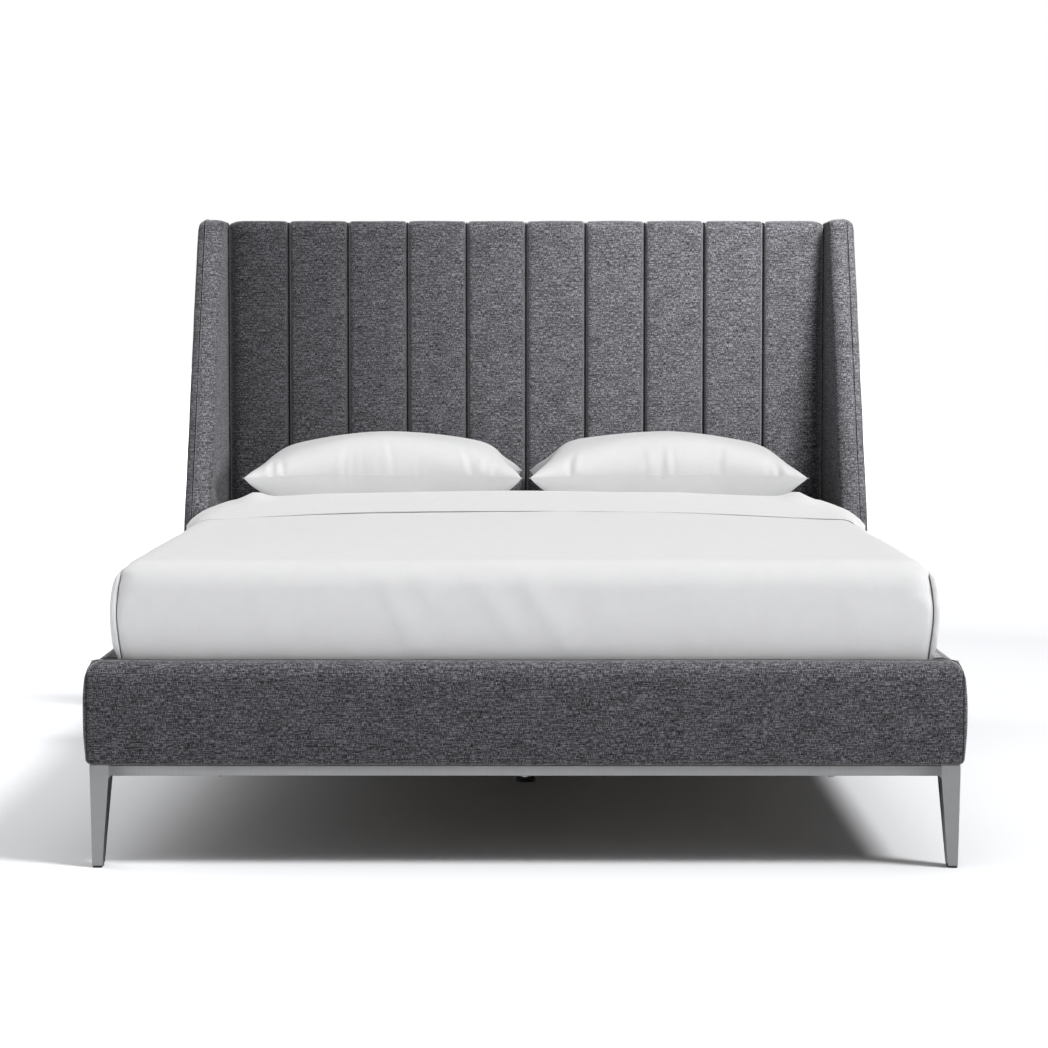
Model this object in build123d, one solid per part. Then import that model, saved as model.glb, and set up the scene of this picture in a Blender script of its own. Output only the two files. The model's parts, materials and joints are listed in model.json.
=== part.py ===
from build123d import *
import os

# Upholstered wing bed with its mattress, sheets and pillows.
# Millimetres, +Z up. The foot of the bed faces -Y and the headboard stands at +Y.
# The origin is on the floor, under the middle of the whole bed.

# Mattress, and the room that the frame leaves round it
mattress_width = 1524.0
mattress_length = 2032.0
mattress_thickness = 262.0
mattress_crown = 18.0
mattress_corner_radius = 50.0
mattress_edge_radius = 46.0
mattress_cover_thickness = 5.0
mattress_sink = 86.0
side_play = 8.0
foot_play = 8.0
head_play = 6.0
rest_gap = 0.3

# Sheets and coverlet
sheet_thickness = 1.5
coverlet_thickness = 5.0
coverlet_swell = 12.0
coverlet_tuck = 52.0
coverlet_head_gap = 480.0
coverlet_slit = 3.0
coverlet_slit_drop = 30.0
turndown_hem_thickness = 4.0
turndown_fold_thickness = 34.0
turndown_fold_radius = 15.0
turndown_length = 340.0
turndown_drop = 120.0
turndown_overlap = 20.0
wing_clearance = 2.0

# Pillows
pillow_side_margin = 73.5
pillow_depth = 420.0
pillow_height = 182.0
pillow_seam_height = 80.0
pillow_tip_height = 10.0
pillow_end_draw = 16.0
pillow_sag = 8.0
pillow_gap = 17.0
pillow_back_gap = 14.0

# Upholstered rails
ground_clearance = 195.0
rail_height = 196.0
rail_thickness = 55.0
rail_core_thickness = 22.0
rail_inner_pad = 8.0
rail_top_pad = 20.0
rail_top_radius = 22.0
rail_inner_radius = 10.0
rail_bottom_radius = 8.0
rail_top_draw = 2.0
rail_bottom_draw = 6.0
rail_crown_height = 120.0
foot_corner_radius = 16.0

# Metal underframe
bar_height = 20.0
bar_wall = 2.0
metal_side_inset = 8.0
metal_end_inset = 10.0
leg_top_width = 36.0
leg_top_depth = 60.0
leg_foot_width = 19.0
leg_foot_depth = 35.0
leg_lean = 3.0
leg_corner_radius = 5.0
leg_foot_radius = 3.0
glide_thickness = 4.0
glide_inset = 0.6
glide_stem_radius = 4.0
glide_stem_length = 16.0
glide_bore_clearance = 0.2

# Slats and what carries them
slat_count = 11
slat_width = 110.0
slat_thickness = 20.0
slat_edge_radius = 4.0
slat_end_play = 5.0
slat_end_margin = 14.0
ledge_width = 30.0
ledge_height = 40.0
beam_width = 50.0
beam_height = 80.0
cross_rail_width = 40.0
hanger_thickness = 3.0
hanger_shelf = 40.0
hanger_cheek = 55.0
hanger_play = 0.2

# Centre leg and its levelling foot
centre_leg_radius = 19.0
centre_leg_wall = 2.0
centre_plate_size = 70.0
centre_plate_thickness = 4.0
centre_plug_flange = 3.0
centre_plug_depth = 22.0
centre_plug_play = 0.15
foot_pad_radius = 22.0
foot_pad_thickness = 9.0
foot_pad_round = 2.0
foot_stem_radius = 5.0
foot_stem_length = 62.0
foot_stem_clearance = 0.08
foot_travel = 20.0

# Headboard
overall_height = 1294.0
channel_count = 10
channel_depth = 48.0
channel_draw = 11.0
channel_top_pad = 24.0
channel_top_rise = 6.0
channel_top_radius = 20.0
channel_gap = 0.4
channel_floor_gap = 6.0
board_thickness = 18.0
batten_thickness = 30.0
batten_width = 70.0
batten_count = 4
back_cover_thickness = 4.0
fit_gap = 0.3

# Wings
wing_thickness = 62.0
wing_inner_pad = 19.0
wing_outer_pad = 21.0
wing_edge_pad = 20.0
wing_back_pad = 6.0
wing_top_depth = 104.0
wing_rail_depth = 530.0
wing_edge_radius = 19.0
wing_shoulder_radius = 120.0
wing_nose_radius = 46.0
wing_heel_radius = 24.0

# Bolts, screws and steel brackets
bolt_radius = 4.0
bolt_head_radius = 6.5
bolt_head_height = 5.3
bolt_grip = 50.0
bolt_play = 0.4
bolt_end_share = 0.74
rear_bolt_grip = 40.0
screw_radius = 2.2
screw_head_radius = 4.6
screw_head_height = 3.0
slat_screw_length = 40.0
bracket_screw_length = 26.0
wing_screw_length = 36.0
screw_play = 0.2
bracket_thickness = 4.0
bracket_leg = 60.0
bracket_height = 34.0
bracket_bend_radius = 3.0
joint_plate_length = 130.0
joint_plate_thickness = 3.0
cut_overrun = 1.0
plan_relief = 1.0

# Places that follow from the sizes above
recess_half = mattress_width / 2 + side_play
base_half = recess_half + rail_thickness
wing_half = recess_half + wing_thickness
recess_length = foot_play + mattress_length + head_play
headboard_thickness = channel_depth + board_thickness + batten_thickness + back_cover_thickness
overall_length = rail_thickness + recess_length + headboard_thickness
foot_y = -overall_length / 2
back_y = overall_length / 2
recess_foot_y = foot_y + rail_thickness
recess_head_y = recess_foot_y + recess_length
board_y = recess_head_y + channel_depth
batten_y = board_y + board_thickness
back_cover_y = batten_y + batten_thickness
wing_front_y = recess_head_y - wing_rail_depth
wing_top_y = recess_head_y - wing_top_depth

rail_top = ground_clearance + rail_height
rail_core_top = rail_top - rail_top_pad
slat_top = rail_top - mattress_sink
ledge_top = slat_top - slat_thickness
beam_bottom = ledge_top - beam_height
channel_floor = slat_top + channel_floor_gap
channel_cap_floor = overall_height - channel_top_pad

metal_half = base_half - metal_side_inset
metal_foot_y = foot_y + metal_end_inset
metal_back_y = back_y - metal_end_inset
bar_width = leg_top_width
bar_bottom = ground_clearance - bar_height

core_inner_x = recess_half + rail_inner_pad
core_outer_x = core_inner_x + rail_core_thickness
foot_core_back_y = recess_foot_y - rail_inner_pad
foot_core_front_y = foot_core_back_y - rail_core_thickness
wing_core_inner_x = recess_half + wing_inner_pad
wing_core_outer_x = wing_half - wing_outer_pad

pillow_length = (mattress_width - pillow_gap) / 2 - pillow_side_margin
mattress_bottom = slat_top + rest_gap
mattress_top = mattress_bottom + mattress_thickness
mattress_foot_y = recess_foot_y + foot_play
mattress_head_y = mattress_foot_y + mattress_length
cross_rail_y = board_y - cross_rail_width
wing_core_y = (board_y + metal_back_y - leg_top_depth) / 2


def block(x0, x1, y0, y1, z0, z1):
    """A plain box between two corners."""
    size = (x1 - x0, y1 - y0, z1 - z0)
    centre = ((x0 + x1) / 2, (y0 + y1) / 2, (z0 + z1) / 2)
    return Pos(*centre) * Box(*size)


def along_x(face, x0, x1):
    """A face drawn with (Y, Z) points, drawn out from x0 to x1."""
    return extrude(Plane.YZ.offset(x0) * face, amount=x1 - x0)


def along_y(face, y0, y1):
    """A face drawn with (X, Z) points, drawn out from y0 to y1."""
    return extrude(Plane.XZ.offset(-y0) * face, amount=y0 - y1)


def along_z(face, z0, z1):
    """A face drawn with (X, Y) points, drawn out from z0 to z1."""
    return extrude(Plane.XY.offset(z0) * face, amount=z1 - z0)


def rod(x, y, z0, z1, radius):
    """An upright round bar."""
    return Pos(x, y, (z0 + z1) / 2) * Cylinder(radius, z1 - z0)


def rod_along_x(y, z, x0, x1, radius):
    """A round bar that lies across the bed."""
    return Pos((x0 + x1) / 2, y, z) * Rot(0, 90, 0) * Cylinder(radius, x1 - x0)


def rod_along_y(x, z, y0, y1, radius):
    """A round bar that lies along the bed."""
    return Pos(x, (y0 + y1) / 2, z) * Rot(90, 0, 0) * Cylinder(radius, y1 - y0)


def cut(body, tools):
    """body less each of the tools, left alone where there are none."""
    return body - list(tools) if tools else body


def mirrored(shape):
    return mirror(shape, about=Plane.YZ)


# Rail outline

def rail_outline(outer, inner, bottom):
    """Half of a rail's section: its padded outer side, from the top inwards.

    outer is where the swell reaches, inner is the flat inside face, and the sign of the
    difference says which way the rail faces.
    """
    way = 1 if outer > inner else -1
    top = bottom + rail_height
    crown = (outer, bottom + rail_crown_height)
    shoulder = (outer - way * rail_top_draw, top - rail_top_radius)
    heel = (outer - way * rail_bottom_draw, bottom + rail_bottom_radius)
    top_end = (shoulder[0] - way * rail_top_radius, top)
    bottom_end = (heel[0] - way * rail_bottom_radius, bottom)
    return way, top, crown, shoulder, heel, top_end, bottom_end


def padded_side(outline):
    """The edges of the padded outer side, from its top end to its bottom end."""
    way, top, crown, shoulder, heel, top_end, bottom_end = outline
    return [
        TangentArc(top_end, shoulder, tangent=(way, 0)),
        TangentArc(crown, shoulder, tangent=(0, 1)),
        TangentArc(crown, heel, tangent=(0, -1)),
        TangentArc(bottom_end, heel, tangent=(way, 0)),
    ]


def rail_section(outer, inner):
    """The whole section of an upholstered rail, core included."""
    outline = rail_outline(outer, inner, ground_clearance)
    way, top, crown, shoulder, heel, top_end, bottom_end = outline
    inner_shoulder = (inner, top - rail_inner_radius)
    inner_end = (inner + way * rail_inner_radius, top)
    edges = padded_side(outline) + [
        Line(bottom_end, (inner, ground_clearance)),
        Line((inner, ground_clearance), inner_shoulder),
        TangentArc(inner_end, inner_shoulder, tangent=(-way, 0)),
        Line(inner_end, top_end),
    ]
    return make_face(edges)


def foot_rail_front_view():
    """The foot rail seen from the front, with both ends padded."""
    right = rail_outline(base_half, 0, ground_clearance)
    left = rail_outline(-base_half, 0, ground_clearance)
    edges = padded_side(right) + padded_side(left)
    edges.append(Line(right[5], left[5]))
    edges.append(Line(right[6], left[6]))
    return make_face(edges)


def foot_rail_plan():
    """The foot rail seen from above, a little proud of it, with its two front corners rounded."""
    front = foot_y - plan_relief
    back = recess_foot_y + cut_overrun
    half = base_half + plan_relief
    plan = Pos(0, (front + back) / 2) * Rectangle(2 * half, back - front)
    return fillet(plan.vertices().sort_by(Axis.Y)[:2], foot_corner_radius)


# Where the fasteners go

def frame_bolt_places():
    """(x, y, grip) of each bolt that comes up through the metal frame."""
    foot_bolt_y = (foot_core_front_y + foot_core_back_y) / 2
    side_bolt_x = (core_inner_x + core_outer_x) / 2
    wing_bolt_x = (wing_core_inner_x + wing_core_outer_x) / 2
    wing_bolt_y = (wing_front_y + wing_edge_pad + metal_back_y - leg_top_depth) / 2
    span = metal_half - leg_top_width
    rear_bolt_y = (batten_y + metal_back_y) / 2
    foot = [(way * bolt_end_share * span, foot_bolt_y, bolt_grip) for way in (-1, 0, 1)]
    sides = [
        (way * side_bolt_x, bolt_end_share * y, bolt_grip)
        for way in (-1, 1)
        for y in (recess_foot_y, 0)
    ]
    wings = [(way * wing_bolt_x, wing_bolt_y, bolt_grip) for way in (-1, 1)]
    rear = [(x, rear_bolt_y, rear_bolt_grip) for x in (batten_centres()[0], batten_centres()[-1])]
    return foot + sides + wings + rear


def bolt_holes(play):
    """The holes that the frame bolts need, with this much room round each."""
    return [
        rod(x, y, bar_bottom - cut_overrun, ground_clearance + grip + cut_overrun, bolt_radius + play)
        for x, y, grip in frame_bolt_places()
    ]


def slat_centres():
    first = recess_foot_y + slat_end_margin + slat_width / 2
    last = recess_head_y - slat_end_margin - slat_width / 2
    step = (last - first) / (slat_count - 1)
    return [first + i * step for i in range(slat_count)]


def slat_screw_x():
    return recess_half - ledge_width / 2


def batten_centres():
    half = recess_half - fit_gap - batten_width / 2
    step = 2 * half / (batten_count - 1)
    return [-half + i * step for i in range(batten_count)]


def bracket_middle():
    return beam_bottom + bracket_height / 2


def bracket_screw_starts():
    """(x, y, direction, length) where each bracket screw's shank starts."""
    corner_reach = bracket_leg * bolt_end_share
    plate_reach = joint_plate_length / 2 * bolt_end_share
    found = []
    for way in (-1, 1):
        face_x = way * recess_half
        found.append((face_x, recess_foot_y + corner_reach, (way, 0), bracket_screw_length))
        found.append((face_x - way * corner_reach, recess_foot_y, (0, -1), bracket_screw_length))
        found.append((face_x, wing_front_y - plate_reach, (way, 0), bracket_screw_length))
        found.append((face_x, wing_front_y + plate_reach, (way, 0), wing_screw_length))
    return found


def bracket_screw(start, play=0.0):
    """One bracket screw, or with play the hole that it needs."""
    x, y, (dx, dy), length = start
    thickness = joint_plate_thickness if abs(y - wing_front_y) < joint_plate_length else bracket_thickness
    z = bracket_middle()
    radius = screw_radius + play
    tip = length + (cut_overrun if play else 0)
    if dx:
        face = x - dx * thickness
        shank = rod_along_x(y, z, *sorted((face, x + dx * tip)), radius)
        head = rod_along_x(y, z, *sorted((face, face - dx * screw_head_height)), screw_head_radius)
    else:
        face = y - dy * thickness
        shank = rod_along_y(x, z, *sorted((face, y + dy * tip)), radius)
        head = rod_along_y(x, z, *sorted((face, face - dy * screw_head_height)), screw_head_radius)
    return shank if play else head + shank


def bracket_holes():
    return [bracket_screw(start, screw_play) for start in bracket_screw_starts()]


# Metal underframe

def frame_bar(length):
    """A rectangular steel tube along X, centred on the origin."""
    outside = Box(length, bar_width, bar_height)
    inside = Box(length + cut_overrun, bar_width - 2 * bar_wall, bar_height - 2 * bar_wall)
    return outside - inside


def bar_along_x(y):
    length = 2 * (metal_half - leg_top_width)
    bar = Pos(0, y, bar_bottom + bar_height / 2) * frame_bar(length)
    return cut(bar, bolt_holes(bolt_play))


def bar_along_y(x):
    length = metal_back_y - metal_foot_y - 2 * leg_top_depth
    bar = Pos(x, 0, bar_bottom + bar_height / 2) * Rot(0, 0, 90) * frame_bar(length)
    return cut(bar, bolt_holes(bolt_play))


def leg_section(way_x, way_y, width, depth, lean, radius, z):
    """A leg's section at a height, set by its outer corner."""
    x = way_x * (metal_half - lean - width / 2)
    end = metal_back_y if way_y > 0 else metal_foot_y
    y = end - way_y * (lean + depth / 2)
    return Pos(x, y, z) * RectangleRounded(width, depth, radius)


def leg_foot_centre(way_x, way_y):
    end = metal_back_y if way_y > 0 else metal_foot_y
    x = way_x * (metal_half - leg_lean - leg_foot_width / 2)
    return x, end - way_y * (leg_lean + leg_foot_depth / 2)


def leg(way_x, way_y):
    """A tapered leg with a straight head that the frame bars are welded to."""
    head = leg_section(way_x, way_y, leg_top_width, leg_top_depth, 0, leg_corner_radius, bar_bottom)
    tip = leg_section(
        way_x, way_y, leg_foot_width, leg_foot_depth, leg_lean, leg_foot_radius, glide_thickness
    )
    x, y = leg_foot_centre(way_x, way_y)
    bore_top = glide_thickness + glide_stem_length + cut_overrun
    bore = rod(x, y, glide_thickness - cut_overrun, bore_top, glide_stem_radius + glide_bore_clearance)
    return loft([tip, head], ruled=True) + extrude(head, amount=bar_height) - bore


def leg_glide(way_x, way_y):
    """A nylon glide with a stem pressed up into the leg."""
    x, y = leg_foot_centre(way_x, way_y)
    pad = RectangleRounded(
        leg_foot_width - 2 * glide_inset, leg_foot_depth - 2 * glide_inset, leg_foot_radius
    )
    return extrude(Pos(x, y, 0) * pad, amount=glide_thickness) + rod(
        x, y, 0, glide_thickness + glide_stem_length, glide_stem_radius
    )


# Rails

def foot_rail_core():
    core = block(
        -core_outer_x, core_outer_x, foot_core_front_y, foot_core_back_y, ground_clearance, rail_core_top
    )
    return cut(core, bolt_holes(bolt_play) + bracket_holes())


def foot_rail_cover():
    reach = base_half + cut_overrun
    padding = along_x(rail_section(foot_y, recess_foot_y), -reach, reach)
    padding &= along_y(foot_rail_front_view(), foot_y - cut_overrun, recess_foot_y + cut_overrun)
    padding &= along_z(foot_rail_plan(), ground_clearance - cut_overrun, rail_top + cut_overrun)
    core = block(
        -core_outer_x,
        core_outer_x,
        foot_core_front_y,
        foot_core_back_y,
        ground_clearance - cut_overrun,
        rail_core_top,
    )
    return cut(padding - core, bracket_holes())


def right_rail_core():
    core = block(core_inner_x, core_outer_x, recess_foot_y, wing_front_y, ground_clearance, rail_core_top)
    return cut(core, bolt_holes(bolt_play) + bracket_holes())


def right_rail_cover():
    padding = along_y(rail_section(base_half, recess_half), recess_foot_y, wing_front_y)
    core = block(
        core_inner_x,
        core_outer_x,
        recess_foot_y - cut_overrun,
        wing_front_y + cut_overrun,
        ground_clearance - cut_overrun,
        rail_core_top,
    )
    return cut(padding - core, bracket_holes())


# Slats and what carries them

def slat(centre_y):
    half = recess_half - slat_end_play
    board = block(
        -half, half, centre_y - slat_width / 2, centre_y + slat_width / 2, ledge_top, slat_top
    )
    long_edges = board.edges().filter_by(Axis.X).group_by(Axis.Z)[-1]
    board = fillet(long_edges, slat_edge_radius)
    holes = []
    for way in (-1, 1):
        x = way * slat_screw_x()
        holes.append(rod(x, centre_y, ledge_top - cut_overrun, slat_top, screw_radius + screw_play))
        sunk = slat_top - screw_head_height - screw_play
        holes.append(rod(x, centre_y, sunk, slat_top + cut_overrun, screw_head_radius + screw_play))
    return board - holes


def slat_screw(x, y):
    head_bottom = slat_top - screw_head_height - screw_play
    head = rod(x, y, head_bottom, head_bottom + screw_head_height, screw_head_radius)
    return head + rod(x, y, head_bottom + screw_head_height - slat_screw_length, head_bottom, screw_radius)


def slat_ledge(way):
    inner, outer = sorted((way * (recess_half - ledge_width), way * recess_half))
    batten = block(inner, outer, recess_foot_y, cross_rail_y, ledge_top - ledge_height, ledge_top)
    tip = slat_top - slat_screw_length - cut_overrun
    holes = [
        rod(way * slat_screw_x(), y, tip - screw_play, ledge_top + cut_overrun, screw_radius + screw_play)
        for y in slat_centres()
    ]
    return batten - holes


def head_cross_rail():
    half = recess_half - fit_gap
    return block(-half, half, cross_rail_y, board_y, beam_bottom, ledge_top)


def centre_beam():
    return block(
        -beam_width / 2,
        beam_width / 2,
        recess_foot_y + hanger_thickness,
        cross_rail_y - hanger_thickness,
        beam_bottom,
        ledge_top,
    )


def beam_hanger(face_y, way):
    """A steel shoe on a rail's face that holds one end of the centre beam."""
    half = beam_width / 2 + hanger_play
    wide = half + hanger_thickness
    shelf_bottom = beam_bottom - hanger_thickness
    plate_y = sorted((face_y, face_y + way * hanger_thickness))
    shelf_y = sorted((face_y, face_y + way * (hanger_thickness + hanger_shelf)))
    shoe = block(-wide, wide, *plate_y, shelf_bottom, ledge_top)
    shoe += block(-wide, wide, *shelf_y, shelf_bottom, beam_bottom)
    for side in (-1, 1):
        cheek_x = sorted((side * half, side * wide))
        shoe += block(*cheek_x, *shelf_y, shelf_bottom, beam_bottom + hanger_cheek)
    return shoe


def corner_bracket(way):
    """An angle plate in the corner between the foot rail and a side rail."""
    face_x = way * recess_half
    along = block(
        *sorted((face_x, face_x - way * bracket_thickness)),
        recess_foot_y,
        recess_foot_y + bracket_leg,
        beam_bottom,
        beam_bottom + bracket_height,
    )
    across = block(
        *sorted((face_x, face_x - way * bracket_leg)),
        recess_foot_y,
        recess_foot_y + bracket_thickness,
        beam_bottom,
        beam_bottom + bracket_height,
    )
    return cut(along + across, bracket_holes())


def joint_plate(way):
    """A flat plate across the joint between a side rail and its wing."""
    face_x = way * recess_half
    plate = block(
        *sorted((face_x, face_x - way * joint_plate_thickness)),
        wing_front_y - joint_plate_length / 2,
        wing_front_y + joint_plate_length / 2,
        beam_bottom,
        beam_bottom + bracket_height,
    )
    return cut(plate, bracket_holes())


# Centre leg

def centre_leg_y():
    return (recess_foot_y + cross_rail_y) / 2


def plug_bottom():
    return foot_pad_thickness + rest_gap


def centre_leg():
    """A round tube with a plate under the beam and a threaded plug in its end."""
    y = centre_leg_y()
    tube_bottom = plug_bottom() + centre_plug_flange
    plate_bottom = beam_bottom - centre_plate_thickness
    half = centre_plate_size / 2
    bore = centre_leg_radius - centre_leg_wall
    tube = rod(0, y, tube_bottom, plate_bottom, centre_leg_radius)
    tube -= rod(0, y, tube_bottom - cut_overrun, plate_bottom, bore)
    plate = block(-half, half, y - half, y + half, plate_bottom, beam_bottom)
    return tube + plate


def centre_leg_plug():
    y = centre_leg_y()
    flange_top = plug_bottom() + centre_plug_flange
    insert_radius = centre_leg_radius - centre_leg_wall - centre_plug_play
    plug = rod(0, y, plug_bottom(), flange_top, centre_leg_radius)
    plug += rod(0, y, plug_bottom(), flange_top + centre_plug_depth, insert_radius)
    thread = foot_stem_radius + foot_stem_clearance
    return plug - rod(0, y, 0, flange_top + centre_plug_depth + cut_overrun, thread)


def levelling_foot():
    y = centre_leg_y()
    pad = rod(0, y, 0, foot_pad_thickness, foot_pad_radius)
    pad = fillet(pad.edges().group_by(Axis.Z)[-1], foot_pad_round)
    return pad + rod(0, y, 0, foot_pad_thickness + foot_stem_length, foot_stem_radius)


# Headboard

def channel_pad(index):
    """One upright stuffed channel, which folds over the top of the headboard."""
    pitch = 2 * recess_half / channel_count
    left = -recess_half + index * pitch + channel_gap / 2
    right = left + pitch - channel_gap
    middle = (left + right) / 2
    seam_y = recess_head_y + channel_draw
    plan = make_face(
        [
            ThreePointArc((left, seam_y), (middle, recess_head_y), (right, seam_y)),
            Line((right, seam_y), (right, back_y)),
            Line((right, back_y), (left, back_y)),
            Line((left, back_y), (left, seam_y)),
        ]
    )
    seam_top = overall_height - channel_top_rise
    front = make_face(
        [
            ThreePointArc((left, seam_top), (middle, overall_height), (right, seam_top)),
            Line((right, seam_top), (right, channel_floor)),
            Line((right, channel_floor), (left, channel_floor)),
            Line((left, channel_floor), (left, seam_top)),
        ]
    )
    face_y = recess_head_y - cut_overrun
    crest = overall_height + cut_overrun
    shoulder_z = crest - channel_top_radius
    brow_y = face_y + channel_top_radius
    nape_y = back_y - channel_top_radius
    side = make_face(
        [
            Line((face_y, channel_floor), (face_y, shoulder_z)),
            TangentArc((face_y, shoulder_z), (brow_y, crest), tangent=(0, 1)),
            Line((brow_y, crest), (nape_y, crest)),
            TangentArc((nape_y, crest), (back_y, shoulder_z), tangent=(1, 0)),
            Line((back_y, shoulder_z), (back_y, channel_cap_floor)),
            Line((back_y, channel_cap_floor), (board_y, channel_cap_floor)),
            Line((board_y, channel_cap_floor), (board_y, channel_floor)),
            Line((board_y, channel_floor), (face_y, channel_floor)),
        ]
    )
    pad = along_z(plan, channel_floor, overall_height + cut_overrun)
    pad &= along_y(front, face_y, back_y)
    return pad & along_x(side, left - cut_overrun, right + cut_overrun)


def headboard_board():
    half = recess_half - fit_gap
    return block(-half, half, board_y, batten_y, ground_clearance, channel_cap_floor)


def headboard_batten(x):
    batten = block(
        x - batten_width / 2,
        x + batten_width / 2,
        batten_y,
        back_cover_y,
        ground_clearance,
        channel_cap_floor,
    )
    return cut(batten, bolt_holes(bolt_play))


def headboard_back_cover():
    half = recess_half - fit_gap
    return block(-half, half, back_cover_y, back_y, ground_clearance, channel_cap_floor)


# Wings

def wing_profile(inset, back_inset, floor):
    """A wing seen from the side, drawn in from its front and top by inset."""
    top = overall_height - inset
    shoulder = Vector(wing_front_y + inset, rail_top)
    nose = Vector(wing_top_y + inset, top)
    points = [
        (wing_front_y + inset, floor),
        (shoulder.X, shoulder.Y),
        (nose.X, nose.Y),
        (back_y - back_inset, top),
        (back_y - back_inset, floor),
    ]
    face = make_face(Polyline(*points, close=True))
    corners = face.vertices()
    face = fillet(corners.sort_by_distance((shoulder.X, shoulder.Y, 0))[0], wing_shoulder_radius - inset)
    corners = face.vertices()
    face = fillet(corners.sort_by_distance((nose.X, nose.Y, 0))[0], wing_nose_radius - inset)
    corners = face.vertices()
    heel = (back_y - back_inset, top, 0)
    return fillet(corners.sort_by_distance(heel)[0], wing_heel_radius - inset)


def wing_core():
    profile = wing_profile(wing_edge_pad, wing_back_pad, ground_clearance)
    core = along_x(profile, wing_core_inner_x, wing_core_outer_x)
    return cut(core, bolt_holes(bolt_play) + bracket_holes())


def wing_cover():
    solid = along_x(wing_profile(0, 0, ground_clearance), recess_half, wing_half)
    rims = [
        edge
        for face_x in (recess_half, wing_half)
        for edge in solid.edges().filter_by_position(Axis.X, face_x, face_x)
        if edge.center().Z > ground_clearance + rest_gap and edge.center().Y < back_y - rest_gap
    ]
    solid = fillet(rims, wing_edge_radius)
    pocket = wing_profile(wing_edge_pad, wing_back_pad, ground_clearance - cut_overrun)
    hollow = along_x(pocket, wing_core_inner_x, wing_core_outer_x)
    return cut(solid - hollow, bracket_holes())


# Mattress and bedding

def rounded_top(low, high, bottom, top, radius, crown):
    """A block's outline with its upper corners rounded and its top gently crowned."""
    left_end = (low + radius, top)
    right_end = (high - radius, top)
    edges = [
        Line((low, bottom), (low, top - radius)),
        ThreePointArc((low, top - radius), rounded_middle(low, top, radius, 1), left_end),
        ThreePointArc(left_end, ((low + high) / 2, top + crown), right_end),
        ThreePointArc(right_end, rounded_middle(high, top, radius, -1), (high, top - radius)),
        Line((high, top - radius), (high, bottom)),
        Line((high, bottom), (low, bottom)),
    ]
    return make_face(edges)


def rounded_middle(side, top, radius, inward):
    """The point halfway round a rounded upper corner."""
    reach = radius * (1 - 0.5**0.5)
    return (side + inward * reach, top - reach)


def mattress_block(grow, bottom):
    """The mattress's shape, grown by a distance on its sides and top."""
    top = mattress_top + grow
    half = mattress_width / 2 + grow
    foot, head = mattress_foot_y - grow, mattress_head_y + grow
    radius = mattress_edge_radius + grow
    across = rounded_top(-half, half, bottom, top, radius, mattress_crown)
    along = rounded_top(foot, head, bottom, top, radius, mattress_crown)
    shape = along_y(across, foot - cut_overrun, head + cut_overrun)
    shape &= along_x(along, -half - cut_overrun, half + cut_overrun)
    corners = Pos(0, (foot + head) / 2) * RectangleRounded(
        2 * (half + plan_relief), head - foot + 2 * plan_relief, mattress_corner_radius + grow
    )
    return shape & along_z(corners, bottom - cut_overrun, top + mattress_crown + cut_overrun)


def mattress_foam():
    return mattress_block(-mattress_cover_thickness, mattress_bottom)


def mattress_cover():
    hollow = mattress_block(-mattress_cover_thickness, mattress_bottom - cut_overrun)
    return mattress_block(0, mattress_bottom) - hollow


def sheet_outside():
    return rest_gap + sheet_thickness


def fitted_sheet():
    hollow = mattress_block(rest_gap, mattress_bottom - cut_overrun)
    return mattress_block(sheet_outside(), mattress_bottom) - hollow


def drape_section(half, bottom, top):
    """A cloth's outline: straight in the recess, swollen above the rails, round at the top."""
    radius = mattress_edge_radius + top - mattress_top
    shoulder_z = top - radius
    swollen_z = (rail_top + shoulder_z) / 2
    edges = []
    for way in (-1, 1):
        side = way * half
        shoulder = (side, shoulder_z)
        crown_end = (side - way * radius, top)
        swollen = (side + way * coverlet_swell, swollen_z)
        edges.append(Line((side, bottom), (side, rail_top)))
        edges.append(ThreePointArc((side, rail_top), swollen, shoulder))
        edges.append(ThreePointArc(shoulder, rounded_middle(side, top, radius, -way), crown_end))
    edges.append(ThreePointArc((radius - half, top), (0, top + mattress_crown), (half - radius, top)))
    edges.append(Line((-half, bottom), (half, bottom)))
    return make_face(edges)


def coverlet_inside():
    return sheet_outside() + rest_gap


def coverlet_outside():
    return coverlet_inside() + coverlet_thickness


def coverlet_hem():
    return rail_top - coverlet_tuck


def coverlet_head_y():
    return recess_head_y - coverlet_head_gap


def drape_block(grow, head_end, bottom):
    """The space under a cloth that lies over the mattress and hangs down three sides."""
    half = mattress_width / 2 + grow
    top = mattress_top + grow
    foot, head = mattress_foot_y - grow, mattress_head_y + grow
    side = rounded_top(foot, head, bottom, top, mattress_edge_radius + grow, mattress_crown)
    shape = along_y(drape_section(half, bottom, top), foot - cut_overrun, head_end)
    return shape & along_x(side, -base_half, base_half)


def wing_spaces():
    """The two wings with a little room round them, where no cloth may swell."""
    profile = wing_profile(-wing_clearance, -wing_clearance, coverlet_hem())
    face = recess_half - rest_gap
    return [along_x(profile, *sorted((way * face, way * wing_half))) for way in (-1, 1)]


def coverlet():
    """The white coverlet, tucked between mattress and rails, with a slit at each foot corner."""
    hem = coverlet_hem()
    outside = drape_block(coverlet_outside(), coverlet_head_y(), hem)
    inside = drape_block(coverlet_inside(), coverlet_head_y() + cut_overrun, hem - cut_overrun)
    foot_outside = mattress_foot_y - coverlet_outside()
    foot_inside = mattress_foot_y - coverlet_inside()
    slit_top = mattress_top - mattress_edge_radius - coverlet_slit_drop
    slit_x = mattress_width / 2 - coverlet_slit
    slits = [
        block(
            *sorted((way * slit_x, way * (slit_x + coverlet_slit))),
            foot_outside - cut_overrun,
            foot_inside + cut_overrun,
            hem - cut_overrun,
            slit_top,
        )
        for way in (-1, 1)
    ]
    return outside - inside - slits - wing_spaces()


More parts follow.
